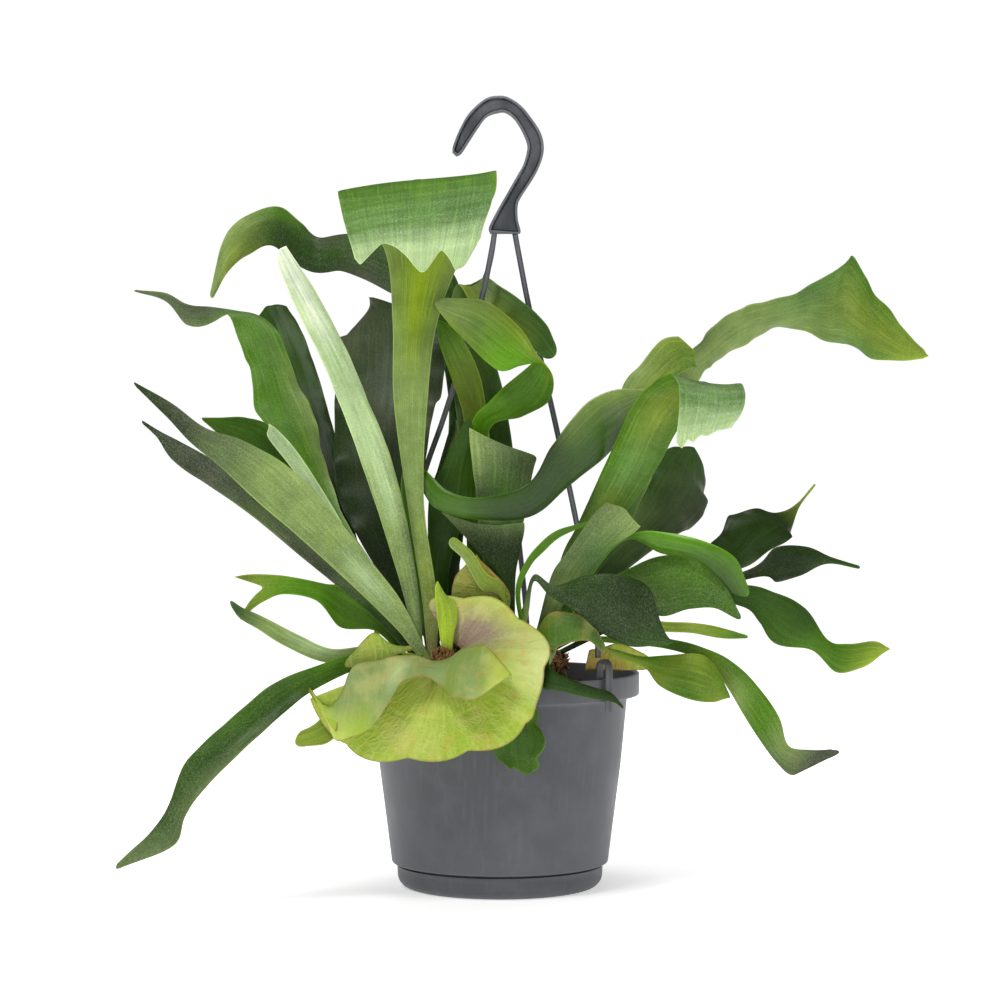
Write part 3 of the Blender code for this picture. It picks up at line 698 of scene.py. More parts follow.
@dataclass(frozen=True)
class Frond:
    """One frond, as a blade between two margins that run from its base to its tip.

    Attributes:
        node: CAD node that it stands for.
        finish: Finish of both sides.
        stations: Left margin x, y, z and right margin x, y, z at each station, base first.
        front: Tones from base to tip on the side that the normals point to, as tone_rows reads them.
        back: Tones of the other side, in the same way.
        felt: Share of the skin covered by white hairs, from base to tip.
        cup: How far the middle stands out from base to tip, 1 for CUP_SHARE of the width.
        tip: Points (u, cut) of the tip's outline: cut is how far it stops short, in stations.
        ripple: Size of the margins' waves, 1 for WAVE_SHARE of the width.
        wave: Length of those waves.
        scallop: Depth and length of the bays in the right-hand margin.
        bands: Strength of the pale bars across the felt, which follow the way the blade unrolled.
        root: How far the stalk runs on below the first station, into the rhizome.
        cell: Size of the mesh's quads.
    """

    node: str
    finish: Finish
    stations: tuple[Station, ...]
    front: str
    back: str
    felt: tuple[float, ...] = (0.0,)
    cup: tuple[float, ...] = (1.0,)
    tip: tuple[tuple[float, float], ...] = ()
    ripple: float = 1.0
    wave: float = 46.0
    scallop: tuple[float, float] = (0.0, 1.0)
    bands: float = 0.0
    root: float = 9.0
    cell: float = 1.3

    def seed(self) -> float:
        """Return a phase of its own for the frond, from the letters of its name."""
        return float(sum((i + 1) * ord(letter) for i, letter in enumerate(self.node)) % 628) / 100

    def margins(self) -> Array:
        """Return the stations as rows of six numbers, leant apart in depth."""
        return spread(np.array(self.stations, float).reshape(-1, 2, 3)).reshape(-1, 6)

    def rails(self, t: Array) -> tuple[Array, Array, Array]:
        """Left margin, right margin and the blade's normal at those places along it."""
        stations = self.margins()
        both = through_stations(stations, t)
        ahead = through_stations(stations, t + 0.02)
        left, right = both[..., :3], both[..., 3:]
        along = (ahead[..., :3] + ahead[..., 3:]) - (left + right)
        return left, right, unit(np.cross(right - left, along))

    def lengths(self) -> tuple[Array, Array]:
        """Even places in station units and the middle line's length up to each."""
        first = self.margins()[:2]
        step = np.linalg.norm(0.5 * (first[1, :3] + first[1, 3:] - first[0, :3] - first[0, 3:]))
        t = np.linspace(-self.root / step, len(self.stations) - 1.0, 400)
        left, right, _ = self.rails(t)
        return t, run_lengths(0.5 * (left + right))

    def grid(self) -> tuple[Array, Array]:
        """Work out u and t over the blade.

        Rows are even along the middle line. Each column ends at the tip's outline: over the last station or
        so, t is drawn back by the outline's cut for that u, or let run past the last station by a round end.

        Returns:
            u and t, each (rows, columns).
        """
        t_even, run = self.lengths()
        stations = self.margins()
        widths = np.linalg.norm(stations[:, 3:] - stations[:, :3], axis=1)
        rows = int(np.clip(run[-1] / self.cell, *ROWS))
        columns = int(np.clip(widths.max() / self.cell, *COLUMNS))
        share = np.linspace(0.0, 1.0, rows)
        t_row = np.interp(share * run[-1], run, t_even)
        u = 0.5 - 0.5 * np.cos(np.linspace(0.0, math.pi, columns))
        u = 0.6 * np.linspace(0.0, 1.0, columns) + 0.4 * u
        if self.tip:
            cut = np.pad(np.interp(u, *zip(*self.tip)), 1, mode="edge")
            cut = np.convolve(cut, (0.25, 0.5, 0.25), mode="valid")
        else:
            last_run = run[-1] - np.interp(len(stations) - 2.0, t_even, run)
            cut = -0.5 * widths[-1] / max(last_run, 1.0) * np.sqrt(np.clip(1 - (2 * u - 1) ** 2, 0, 1))
        end = len(stations) - 1.0
        bend = smooth(t_row, end - (1.6 if self.tip else 1.0), end)[:, None]
        return np.broadcast_to(u, (rows, columns)), t_row[:, None] - bend * cut[None, :]

    def surface(self, u: Array, t: Array) -> tuple[Array, Array, Array]:
        """Work out the middle surface.

        A point is left + (right - left) u, raised along the normal by the cup, 4u(1-u) of its share of the
        width, by waves that grow to the margins with a power of the distance from the middle, and by slow
        rolls of the whole blade.

        Args:
            u: Places across.
            t: Places along, in stations.

        Returns:
            Points, width at each point and length along the blade at each point.
        """
        left, right, normal = self.rails(t)
        across = right - left
        width = np.linalg.norm(across, axis=-1)
        t_even, run = self.lengths()
        length = np.interp(t, t_even, run)
        places = np.linspace(0.0, run[-1], max(len(self.cup), 2))
        cup = np.interp(length, places, self.cup if len(self.cup) > 1 else self.cup * 2)
        bays, bay_length = self.scallop
        phase = self.seed()
        out = bays * smooth(u, 0.55, 1.0) * (np.abs(np.sin(math.pi * length / bay_length + phase)) - 0.6)
        middle = 2 * u - 1
        grow = smooth(length, 6.0, 60.0)
        swing = math.tau * length / self.wave
        left_wave = np.sin(swing + phase) + 0.45 * np.sin(2.3 * swing + 2 * phase)
        right_wave = np.sin(0.9 * swing + 1.7 * phase + 2.0) + 0.45 * np.sin(2.1 * swing + 3 * phase)
        at_margin = np.abs(middle) ** WAVE_POWER * np.where(middle < 0, left_wave, right_wave)
        height = 4 * u * (1 - u) * CUP_SHARE * cup * width
        height = height + WAVE_SHARE * self.ripple * grow * width * at_margin
        roll = np.sin(length / 17.0 + 3.1 * u + phase) + np.sin(length / 9.0 - 5.2 * u + 2 * phase)
        height = height + ROLL_SHARE * width * grow * roll * self.ripple
        points = left + across * u[..., None] + unit(across) * out[..., None] + normal * height[..., None]
        return points, width, length

    def half_thickness(self, u: Array, points: Array, width: Array, length: Array) -> tuple[Array, Array]:
        """Half the blade's thickness and the distance to the nearest margin.

        The blade is 0.9 mm thick, thins to a rounded margin, and thickens to a stalk at its base.
        """
        steps = np.linalg.norm(np.diff(points, axis=0), axis=-1)
        to_tip = np.concatenate([np.cumsum(steps[::-1], axis=0)[::-1], np.zeros_like(steps[:1])])
        edge = np.minimum(np.minimum(u, 1 - u) * width, to_tip)
        stalk = 1.2 * np.exp(-((length / 26.0) ** 2)) * np.sqrt(np.clip(4 * u * (1 - u), 0, 1))
        return 0.14 + 0.3 * (1 - np.exp(-((edge / 1.1) ** 2))) + stalk, edge

    def tones(self, text: str, u: Array, share: Array) -> Array:
        """Spread the listed tones over the blade, along it and across it, blending in linear light."""
        places = np.linspace(0.0, 1.0, 3)
        table = []
        for listed in tone_rows(text):
            own = np.linspace(0.0, 1.0, len(listed)) if len(listed) > 1 else np.array([0.5])
            table.append(np.stack([np.interp(places, own, listed[:, c]) for c in range(4)], -1))
        stack = np.array(table if len(table) > 1 else table * 2)
        place = share * (len(stack) - 1)
        i = np.clip(place.astype(int), 0, len(stack) - 2)
        f = smooth(place - i, 0.0, 1.0)[..., None]
        j = np.clip((u * 2).astype(int), 0, 1)
        g = (u * 2 - j)[..., None]
        low = stack[i, j] * (1 - g) + stack[i, j + 1] * g
        high = stack[i + 1, j] * (1 - g) + stack[i + 1, j + 1] * g
        return low * (1 - f) + high * f

    @staticmethod
    def bars(u: Array, length: Array) -> Array:
        """Bars across the blade, bent and broken: sin(tau l / spacing + 0.8 sin 7u) sin(l / 2.9 + 3u)."""
        bent = length * math.tau / BAR_SPACING + 0.8 * np.sin(7.0 * u)
        return np.sin(bent) * np.sin(length / 2.9 + 3.0 * u)

    def build(self) -> None:
        """Make the frond's closed mesh with its colours and show it."""
        u, t = self.grid()
        points, width, length = self.surface(u, t)
        normal = unit(np.cross(np.gradient(points, axis=1), np.gradient(points, axis=0)))
        half, edge = self.half_thickness(u, points, width, length)
        rib = 0.35 * np.exp(-((((u - 0.5) * width) / 1.3) ** 2)) * smooth(width, 6.0, 14.0)
        front = points + normal * (half - rib)[..., None]
        back = points - normal * (half + rib)[..., None]
        verts, quads = closed_shell(front, back)
        share = length / length.max()
        skin = np.concatenate([self.tones(text, u, share).reshape(-1, 4) for text in (self.front, self.back)])
        felt = np.interp(share, np.linspace(0.0, 1.0, len(self.felt)), self.felt)
        bars = self.bands * self.bars(u, length)
        felt = np.clip(felt * (1 + bars), 0.0, 1.0)
        skin[:, :3] *= np.tile((1 + 0.07 * bars * smooth(share, 0.8, 0.86)).ravel(), 2)[:, None]
        felt, margin = np.tile(felt.ravel(), 2), np.tile(edge.ravel(), 2)
        mesh = show_piece(self.node, verts, [quads], self.finish.value, skin=skin, felt=felt, margin=margin)
        flat = np.stack([(u - 0.5) * width.max(), length], -1).reshape(-1, 2)
        add_uv(mesh, np.concatenate([flat, flat + [BACK_OFFSET, 0.0]]))


# A station is the blade's left margin (x, y, z) and then its right one.
FRONDS: tuple[Frond, ...] = (
    Frond("tall_centre_frond", Finish.SILVER, (
        (-43, -66, 148, -37, -66, 148), (-46, -63, 179, -37, -63, 179), (-55, -57, 237, -45, -57, 237),
        (-63, -50, 296, -43, -50, 296), (-64, -42, 344, -37, -42, 344), (-69, -36, 386, -21, -36, 386),
        (-91, -36, 415, -4, -36, 418), (-96, -47, 420, -2, -47, 432), (-92, -66, 403, -4, -66, 417),
        (-84, -80, 376, -13, -80, 384),
    ), front="KHAKI, SAGE OLIVE SAGE, SAGE x2, SAGE LIME SAGE x2, SAGE OLIVE SAGE, LEAF",
       back="MID x12, LEAF, GRASS, SILVER", tip=((0, 0.1), (0.03, -0.05), (0.12, 0.1), (0.24, 0.31),
       (0.33, 0.2), (0.41, 0), (0.5, -0.3), (0.56, -0.4), (0.61, -0.3), (0.7, 0.04), (0.78, -0.15),
       (0.85, -0.38), (0.93, -0.3), (1, 0.2)), felt=(0.2, 0.15, 0.1, 0.05, 0, 0.05, 0.3),
       cup=(1, 1, 1, 0.3, 0, -0.3), ripple=0.4, bands=1),
    Frond("silver_strap_frond", Finish.SILVER, (
        (-49, -68, 149, -45, -67, 149), (-60, -67, 193, -50, -65, 198), (-78, -66, 249, -62, -63, 255),
        (-95, -64, 296, -79, -61, 299), (-108, -62, 326, -93, -60, 331), (-123, -61, 356, -109, -60, 361),
        (-133, -61, 381, -126, -61, 387),
    ), front="SAGE, GREY SAGE GREY, SAGE SAGE GREY, SAGE SILVER SAGE, SILVER x2, SILVER FELT SILVER, FELT",
       back="GREY", felt=(0.2, 0.4), ripple=0.6, tip=((0, 0.1), (0.5, -0.05), (1, 0))),
    Frond("broad_left_frond", Finish.SILVER, (
        (-44, -72, 151, -48, -73, 148), (-58, -76, 179, -65, -78, 167), (-78, -82, 206, -88, -85, 190),
        (-99, -88, 233, -117, -91, 217), (-122, -92, 257, -140, -95, 237), (-147, -95, 272, -161, -97, 257),
        (-170, -97, 280, -178, -98, 271), (-189, -99, 294, -192, -99, 286),
        (-210, -100, 306, -209, -100, 303),
    ), front="DEEP, MID, DEEP", back="SAGE x2, SAGE SILVER SAGE, SAGE x3, GREY, SLATE DARK, DARK",
       felt=(0.3, 0.1), ripple=0.8),
    Frond("lower_left_frond", Finish.DEEP, (
        (-51, -62, 150, -54, -63, 147), (-70, -65, 179, -77, -67, 171), (-105, -71, 211, -116, -73, 204),
        (-137, -75, 239, -147, -77, 230), (-166, -77, 260, -173, -78, 248), (-187, -78, 272, -191, -79, 261),
        (-200, -79, 279, -200, -79, 274), (-208, -80, 284, -208, -80, 282),
    ), front="DARK", back="DEEP, GREY DEEP, SLATE, SLATE GREY, SLATE, DARK", felt=(0.1, 0.15), ripple=1.6),
    Frond("upper_left_frond", Finish.GREEN, (
        (-50, -56, 150, -46, -55, 150), (-76, -54, 184, -68, -52, 187), (-106, -45, 234, -95, -43, 231),
        (-129, -36, 266, -105, -33, 263), (-146, -27, 291, -113, -24, 288), (-151, -18, 315, -125, -15, 315),
        (-158, -10, 332, -135, -8, 338), (-166, -6, 347, -147, -4, 349), (-180, -4, 342, -174, -3, 353),
        (-191, 0, 343, -190, 0, 355), (-204, 2, 357, -204, 2, 362), (-223, 5, 363, -222, 5, 364),
    ), front="SAGE, SILVER SAGE, SAGE LEAF SILVER, LEAF LEAF SAGE x2, LEAF, GREY SLATE, SLATE GREY",
       back="SAGE, GREY", felt=(0.1, 0.1), ripple=1.2),
    Frond("upper_left_back_frond", Finish.DEEP, (
        (-49, -50, 150, -45, -49, 150), (-88, -38, 201, -81, -37, 201), (-106, -18, 244, -92, -16, 244),
        (-122, 4, 279, -102, 6, 279), (-136, 22, 314, -113, 24, 314), (-148, 34, 341, -124, 36, 341),
        (-151, 40, 353, -134, 42, 358),
    ), front="DARK x2, DEEP", back="GREY", felt=(0.03, 0.03), tip=((0, 0.3), (0.3, 0), (1, 0.1))),
    Frond("left_back_lobe_frond", Finish.GREEN, (
        (-51, -59, 154, -53, -60, 152), (-88, -61, 198, -92, -62, 193), (-118, -59, 250, -127, -61, 242),
        (-134, -58, 279, -144, -60, 260), (-150, -58, 286, -158, -60, 268), (-166, -59, 286, -168, -60, 278),
        (-175, -60, 286, -175, -60, 284),
    ), front="SAGE", back="DARK, DEEP, MID", felt=(0.03, 0.03)),
    Frond("narrow_silver_frond", Finish.SILVER, (
        (-51, -66, 155, -54, -67, 153), (-75, -69, 193, -80, -70, 189), (-99, -70, 235, -105, -71, 230),
        (-117, -68, 263, -123, -69, 257), (-130, -66, 278, -136, -67, 274), (-135, -66, 282, -136, -66, 280),
    ), front="GREY", back="SAGE, SILVER x2", felt=(0.3, 0.4), cup=(0.6,)),
    # its front tones are dark green with painted shade of the plant's interior
    Frond("dark_centre_left_frond", Finish.DEEP, (
        (-41, -51, 150, -35, -51, 150), (-66, -47, 184, -46, -46, 184), (-96, -35, 237, -47, -33, 237),
        (-100, -18, 279, -42, -18, 279), (-99, 2, 315, -34, 2, 315), (-97, 18, 337, -37, 18, 343),
        (-91, 24, 343, -51, 24, 350),
    ), front="SHADE, SHADE DARK, DARK SLATE, SLATE DARK", back="SAGE", felt=(0.03, 0.05)),
    Frond("arching_top_left_frond", Finish.GREEN, (
        (-30, 2, 150, -24, 2, 150), (-34, 20, 236, -25, 20, 236), (-32, 34, 297, -21, 34, 297),
        (-44, 37, 346, -28, 40, 374), (-71, 36, 365, -74, 40, 395), (-96, 32, 376, -94, 36, 400),
        (-115, 29, 376, -112, 33, 398), (-131, 26, 385, -124, 29, 407), (-142, 23, 392, -137, 26, 416),
        (-156, 21, 386, -156, 24, 411), (-167, 18, 376, -170, 20, 396), (-176, 16, 360, -178, 16, 363),
    ), front="DARK x2, DEEP x6, SLATE DEEP, DARK DEEP SLATE, DEEP DEEP LEAF, OLIVE SAGE, SAGE",
       back="SAGE, GREY", felt=(0.03, 0.1), cup=(1.2,), ripple=1.4),
    Frond("forked_left_frond", Finish.GREEN, (
        (-57, -58, 149, -59, -59, 146), (-71, -59, 168, -74, -60, 160), (-87, -60, 185, -94, -61, 162),
        (-103, -63, 188, -108, -65, 178), (-120, -68, 192, -126, -70, 182), (-136, -72, 194, -139, -74, 178),
        (-156, -76, 193, -153, -78, 168),
    ), front="SAGE", back="MID, LEAF, BRIGHT, OLIVE", tip=((0, 0), (0.25, 0.55), (0.4, 0.85), (0.5, 0.95),
       (0.7, 0.6), (1, 0)), felt=(0.05, 0.05)),
    Frond("narrow_left_frond", Finish.GREEN, (
        (-59, -74, 149, -61, -75, 145), (-78, -75, 152, -80, -76, 145), (-99, -78, 151, -102, -80, 143),
        (-119, -82, 160, -124, -84, 152), (-138, -85, 170, -141, -87, 163), (-149, -87, 175, -151, -88, 169),
        (-155, -88, 179, -155, -88, 174),
    ), front="SAGE", back="OLIVE, SAGE, SILVER SAGE, SAGE, DEEP", felt=(0.1, 0.1), cup=(0.6,)),
    Frond("drooping_left_frond", Finish.DEEP, (
        (-54, -80, 148, -55, -81, 144), (-77, -84, 150, -76, -86, 142), (-107, -95, 142, -103, -97, 131),
        (-133, -103, 131, -121, -106, 119), (-157, -109, 111, -142, -112, 100),
        (-180, -113, 89, -167, -116, 76), (-189, -115, 66, -180, -118, 58), (-200, -117, 49, -187, -119, 41),
        (-219, -119, 31, -218, -120, 28),
    ), front="SAGE", back="LEAF, LEAF MID, MID DEEP, MID DEEP GREY, DEEP GREY, GREY", felt=(0.03, 0.15),
       cup=(1.5,), ripple=1.2),
    Frond("small_drooping_left_frond", Finish.DEEP, (
        (-64, -90, 144, -61, -91, 139), (-74, -94, 133, -70, -95, 126), (-92, -99, 124, -87, -99, 114),
        (-106, -101, 110, -98, -102, 99), (-115, -102, 105, -113, -103, 96),
    ), front="GREY", back="MID, LEAF OLIVE, OLIVE", felt=(0.03, 0.05)),
    Frond("arching_top_right_frond", Finish.DEEP, (
        (-15, 12, 150, -5, 12, 150), (-20, 20, 235, 9, 20, 235), (-28, 21, 297, 3, 21, 297),
        (-32, 17, 340, -12, 17, 351), (-26, 12, 367, -10, 13, 372), (-13, 4, 348, 2, 5, 365),
        (5, -13, 336, 14, -12, 356), (18, -26, 328, 27, -25, 343), (26, -32, 322, 33, -31, 331),
    ), front="DARK, DEEP x2, GREY MID, MID, DEEP", back="DEEP x5, GREY, OLIVE GREY, OLIVE GRASS, GRASS",
       felt=(0.03, 0.05), cup=(1.2,)),
    Frond("curled_centre_frond", Finish.GREEN, (
        (-9, -20, 152, -5, -20, 152), (-13, -30, 248, -5, -30, 248), (-17, -37, 282, -6, -37, 279),
        (-6, -40, 296, 13, -40, 287), (8, -43, 309, 29, -43, 296), (23, -47, 322, 31, -48, 311),
        (11, -53, 316, 21, -55, 325), (-1, -53, 314, 11, -55, 340), (-15, -51, 326, -9, -52, 355),
        (-29, -49, 340, -31, -49, 357),
    ), front="DEEP x2, LEAF, BRIGHT, LEAF, BRIGHT BRIGHT OLIVE, OLIVE SAGE SAGE",
       back="BRIGHT, LEAF, SAGE, BRIGHT x2, GREY", felt=(0.03, 0.05), ripple=0.6),
    Frond("centre_strap_frond", Finish.GREEN, (
        (-19, -8, 151, -15, -8, 151), (-21, -14, 248, -6, -14, 248), (-22, -20, 285, -8, -20, 288),
        (-29, -24, 309, -13, -24, 314), (-36, -28, 329, -24, -28, 336), (-38, -29, 341, -33, -29, 343),
    ), front="DEEP x2, LEAF SAGE, OLIVE, LEAF", back="SAGE", felt=(0.03, 0.05), cup=(0.8,)),
    Frond("dark_tip_frond", Finish.DEEP, (
        (-40, -43, 152, -36, -42, 152), (-43, -24, 200, -24, -24, 200), (-43, -21, 236, -22, -21, 236),
        (-37, -21, 257, -30, -21, 263), (-31, -21, 277, -25, -21, 277), (-28, -21, 284, -26, -21, 284),
    ), front="SHADE, DARK x2, DARK DARK SAGE", back="GREY", felt=(0, 0.05), cup=(0.6,)),
    Frond("centre_green_frond", Finish.GREEN, (
        (-32, -47, 152, -28, -47, 152), (-40, -44, 184, -31, -44, 184), (-42, -43, 210, -27, -43, 210),
        (-42, -42, 236, -16, -42, 234), (-37, -43, 252, -14, -43, 255), (-30, -45, 266, -14, -45, 272),
        (-22, -46, 282, -17, -46, 284),
    ), front="MID, LEAF DEEP, DEEP, DEEP MID, DEEP", back="SAGE", felt=(0, 0.03)),
    Frond("mitten_tip_frond", Finish.SILVER, (
        (-2, -44, 152, 4, -44, 152), (-5, -48, 178, 5, -48, 178), (-10, -51, 201, 10, -51, 201),
        (-13, -52, 227, 14, -52, 227), (-15, -53, 246, 18, -53, 247), (-17, -54, 264, 22, -54, 260),
        (-18, -54, 280, 20, -54, 264),
    ), front="MID x2, GREY GRASS, GREY GRASS GREY, SAGE GREY GREY", back="SAGE", tip=((0, 0), (0.3, 0.1),
       (0.6, 0.15), (1, 0)), felt=(0.1, 0.15)),
    Frond("glossy_wave_frond", Finish.GLOSSY, (
        (-45, -59, 155, -42, -58, 155), (-50, -58, 185, -46, -57, 185), (-57, -50, 225, -51, -49, 222),
        (-58, -48, 253, -53, -48, 245), (-45, -51, 255, -47, -50, 243), (-31, -61, 243, -37, -60, 232),
        (-11, -67, 239, -13, -66, 226), (16, -69, 247, 18, -68, 228), (31, -67, 270, 41, -65, 246),
        (48, -61, 292, 62, -58, 263), (66, -52, 302, 78, -49, 280), (84, -46, 303, 86, -45, 295),
    ), front="MID, BRIGHT x2, LEAF, MID, DEEP DARK, DARK DEEP, SAGE MID DEEP, SAGE GREY",
       back="BRIGHT, LEAF, MID", felt=(0, 0.03), cup=(1.3,), ripple=0.3),
    Frond("rolled_lip_frond", Finish.SILVER, (
        (4, -52, 156, 9, -52, 156), (0, -57, 189, 9, -57, 187), (-10, -57, 203, 11, -58, 203),
        (-23, -56, 218, 14, -58, 218), (-35, -55, 230, 14, -58, 227),
    ), front="DEEP x2, DEEP DARK, DARK, GREY", back="SAGE", felt=(0.03, 0.1), cup=(0.8,), tip=((0, 0),
       (0.3, 0.5), (0.6, 0.6), (1, 0.3))),
    Frond("small_rolled_frond", Finish.SILVER, (
        (8, -62, 160, 11, -62, 157), (2, -69, 187, 0, -70, 181), (-8, -72, 195, -11, -73, 185),
        (-16, -73, 207, -21, -74, 202), (-25, -73, 215, -29, -74, 210),
    ), front="SAGE", back="LEAF, OLIVE, OLIVE SAGE", felt=(0.05, 0.1), cup=(0.8,)),
    Frond("narrow_arching_frond", Finish.GREEN, (
        (13, -62, 157, 16, -62, 156), (9, -72, 184, 12, -72, 183), (14, -74, 200, 18, -74, 199),
        (22, -76, 211, 26, -76, 208), (33, -78, 220, 35, -78, 216), (50, -79, 225, 50, -79, 223),
    ), front="LEAF x2, MID", back="SAGE", felt=(0, 0.03), cup=(0.4,), ripple=0.3),
    # painted shade: the right-hand column of its front tones, MID, darkens the channel's right half
    Frond("right_channel_frond", Finish.GREEN, (
        (26, -50, 158, 31, -50, 158), (36, -54, 202, 47, -54, 197), (47, -56, 225, 66, -56, 219),
        (65, -60, 265, 92, -60, 255), (79, -62, 294, 106, -62, 281), (90, -61, 306, 126, -61, 300),
        (101, -67, 312, 141, -67, 305), (105, -77, 297, 143, -77, 295), (102, -84, 269, 135, -84, 280),
    ), front="SAGE, MID GREY MID, MID OLIVE MID, LEAF GRASS MID, LEAF OLIVE MID, LEAF, MID",
       back="LEAF x7, GREY, GRASS, SILVER", tip=((0, 0.1), (0.12, -0.1), (0.2, 0.12), (0.3, -0.05),
       (0.42, 0.12), (0.55, 0), (0.7, 0.1), (1, 0)), felt=(0.05, 0.05, 0.05, 0.05, 0.3),
       cup=(1.4, 1.6, 1.8, 1, 0.2), ripple=0.5, bands=1),
    Frond("right_hump_frond", Finish.GREEN, (
        (22, -35, 156, 32, -35, 156), (50, -37, 223, 68, -37, 215), (73, -38, 272, 90, -37, 266),
        (73, -29, 303, 96, -27, 297), (84, -21, 317, 106, -19, 310), (98, -16, 333, 116, -14, 316),
        (115, -14, 335, 121, -14, 316),
    ), front="DEEP, MID, OLIVE SAGE x2, SAGE OLIVE, OLIVE LEAF", back="DARK", felt=(0.03, 0.1), cup=(1.2,),
       tip=((0, 0.4), (0.5, 0), (1, 0.4))),
    # painted shade: GREY on the left side of its front, part way along, where the blade's underside lies in
    # shade
    Frond("far_right_frond", Finish.GREEN, (
        (27, -24, 154, 31, -24, 154), (59, -20, 226, 76, -19, 218), (91, -5, 278, 102, -3, 272),
        (110, 9, 318, 123, 11, 310), (123, 17, 333, 130, 19, 318), (146, 26, 353, 150, 29, 331),
        (171, 32, 359, 171, 36, 341), (193, 35, 370, 190, 39, 340), (210, 34, 378, 204, 38, 333),
        (218, 32, 386, 211, 37, 331), (227, 31, 373, 218, 36, 331), (239, 29, 354, 234, 33, 323),
        (253, 27, 337, 249, 29, 321), (266, 26, 325, 265, 26, 323),
    ), front="DARK x2, DARK MID, DEEP SAGE, GREY SAGE, GREY SAGE SAGE, SAGE, GRASS SAGE, "
       "LEAF OLIVE GRASS, OLIVE LIME", back="DEEP, DARK", felt=(0.03, 0.1), cup=(1.2,), ripple=1.2,
       tip=((0, 0.3), (0.5, 0), (1, 0.2))),
    Frond("dark_round_back_frond", Finish.DEEP, (
        (27, -16, 154, 31, -16, 154), (53, -12, 203, 69, -12, 187), (80, 8, 229, 98, 10, 208),
        (90, 27, 253, 124, 31, 223), (103, 40, 266, 129, 44, 247), (116, 45, 268, 124, 46, 262),
    ), front="DEEP, GREY DEEP, DEEP SLATE, DEEP", back="SAGE", felt=(0.03, 0.05)),
    Frond("grey_fan_frond", Finish.SILVER, (
        (22, -56, 162, 27, -56, 162), (30, -66, 192, 52, -66, 194), (42, -69, 211, 66, -69, 209),
        (53, -71, 227, 77, -71, 217), (62, -71, 236, 84, -71, 224),
    ), front="GREY, GREY SAGE GREY, GREY GRASS, GREY SAGE", back="SAGE", felt=(0.1, 0.15), cup=(1.4,),
       tip=((0, 0), (0.4, -0.3), (1, 0.2))),
    Frond("glossy_right_frond", Finish.GLOSSY, (
        (36, -52, 160, 38, -52, 156), (53, -58, 202, 55, -58, 193), (80, -62, 218, 75, -62, 214),
        (100, -63, 218, 95, -64, 206), (121, -65, 213, 115, -66, 202), (138, -66, 204, 127, -67, 193),
        (146, -66, 187, 134, -67, 185),
    ), front="LEAF, BRIGHT LEAF x2, BRIGHT MID, LEAF DARK", back="LEAF, MID", felt=(0, 0.03), cup=(1.2,),
       ripple=0.5),
    Frond("speckled_front_frond", Finish.DEEP, (
        (14, -67, 176, 17, -67, 172), (20, -73, 194, 20, -73, 190), (32, -77, 188, 29, -78, 182),
        (50, -83, 194, 44, -85, 173), (69, -88, 195, 58, -90, 161), (86, -91, 187, 75, -92, 154),
        (93, -92, 168, 94, -93, 154),
    ), front="SAGE, SLATE DEEP, DEEP DARK, DARK, DARK DEEP", back="SAGE", felt=(0.12, 0.08), cup=(1.2,)),
    Frond("grey_right_frond", Finish.SILVER, (
        (34, -47, 156, 36, -47, 153), (53, -53, 184, 55, -53, 175), (73, -55, 195, 74, -55, 175),
        (95, -57, 204, 95, -58, 169), (118, -58, 203, 112, -59, 173), (131, -58, 190, 127, -59, 173),
        (142, -58, 170, 140, -58, 167),
    ), front="GREY, MID GREY, LEAF GREY, LEAF MID, MID", back="SAGE", felt=(0.1, 0.15), cup=(1.2,)),
    Frond("thin_right_frond", Finish.GREEN, (
        (58, -62, 170, 59, -62, 164), (94, -63, 166, 94, -63, 160), (115, -64, 165, 113, -64, 159),
        (131, -65, 162, 130, -65, 156), (145, -65, 158, 145, -65, 156),
    ), front="MID, OLIVE x2, LEAF", back="SAGE", felt=(0.03, 0.05), cup=(0.6,)),
    Frond("twisted_right_frond", Finish.DEEP, (
        (36, -40, 152, 37, -40, 149), (95, -42, 186, 96, -42, 178), (146, -41, 186, 142, -41, 174),
        (164, -42, 182, 155, -43, 164), (181, -46, 173, 164, -47, 151), (195, -50, 154, 185, -51, 148),
        (207, -52, 152, 200, -53, 135), (223, -54, 153, 216, -54, 138), (230, -54, 150, 227, -54, 146),
    ), front="DARK, DEEP x2, DARK DEEP, DEEP, DEEP MID, LEAF, OLIVE LIME", back="GREY", felt=(0.03, 0.03),
       cup=(1.2,), ripple=1.3),
    Frond("upper_right_dark_frond", Finish.DEEP, (
        (36, -29, 152, 37, -29, 148), (97, -26, 190, 100, -26, 184), (131, -12, 213, 145, -12, 194),
        (141, -4, 228, 163, -4, 204), (156, 3, 229, 177, 3, 211), (169, 9, 227, 179, 9, 217),
        (182, 13, 233, 184, 13, 231), (193, 16, 245, 194, 16, 244),
    ), front="DARK, DEEP x2, DARK DEEP, DARK, OLIVE", back="GREY", felt=(0, 0.03), cup=(1.2,), ripple=1.6),
    Frond("pointed_right_dark_frond", Finish.DEEP, (
        (38, -34, 148, 39, -34, 145), (97, -34, 178, 98, -34, 173), (150, -28, 195, 154, -28, 190),
        (166, -26, 208, 167, -26, 187), (185, -25, 208, 181, -25, 191), (200, -24, 202, 197, -24, 198),
        (216, -23, 197, 216, -23, 195),
    ), front="DARK x2, SLATE DARK x2, DARK, DEEP", back="GREY", felt=(0.03, 0.05), cup=(1.2,), ripple=1.4),
    Frond("lower_right_pale_frond", Finish.GREEN, (
        (72, -60, 148, 74, -60, 143), (84, -61, 145, 86, -61, 138), (99, -65, 146, 94, -66, 128),
        (117, -70, 147, 110, -71, 121), (127, -72, 139, 124, -73, 119), (134, -74, 125, 132, -74, 121),
    ), front="OLIVE, LEAF OLIVE, OLIVE LEAF, LEAF OLIVE", back="SAGE", felt=(0.05, 0.05), cup=(1.2,)),
    Frond("drooping_right_frond", Finish.GREEN, (
        (68, -52, 156, 69, -52, 152), (100, -55, 155, 99, -55, 149), (126, -60, 148, 123, -60, 141),
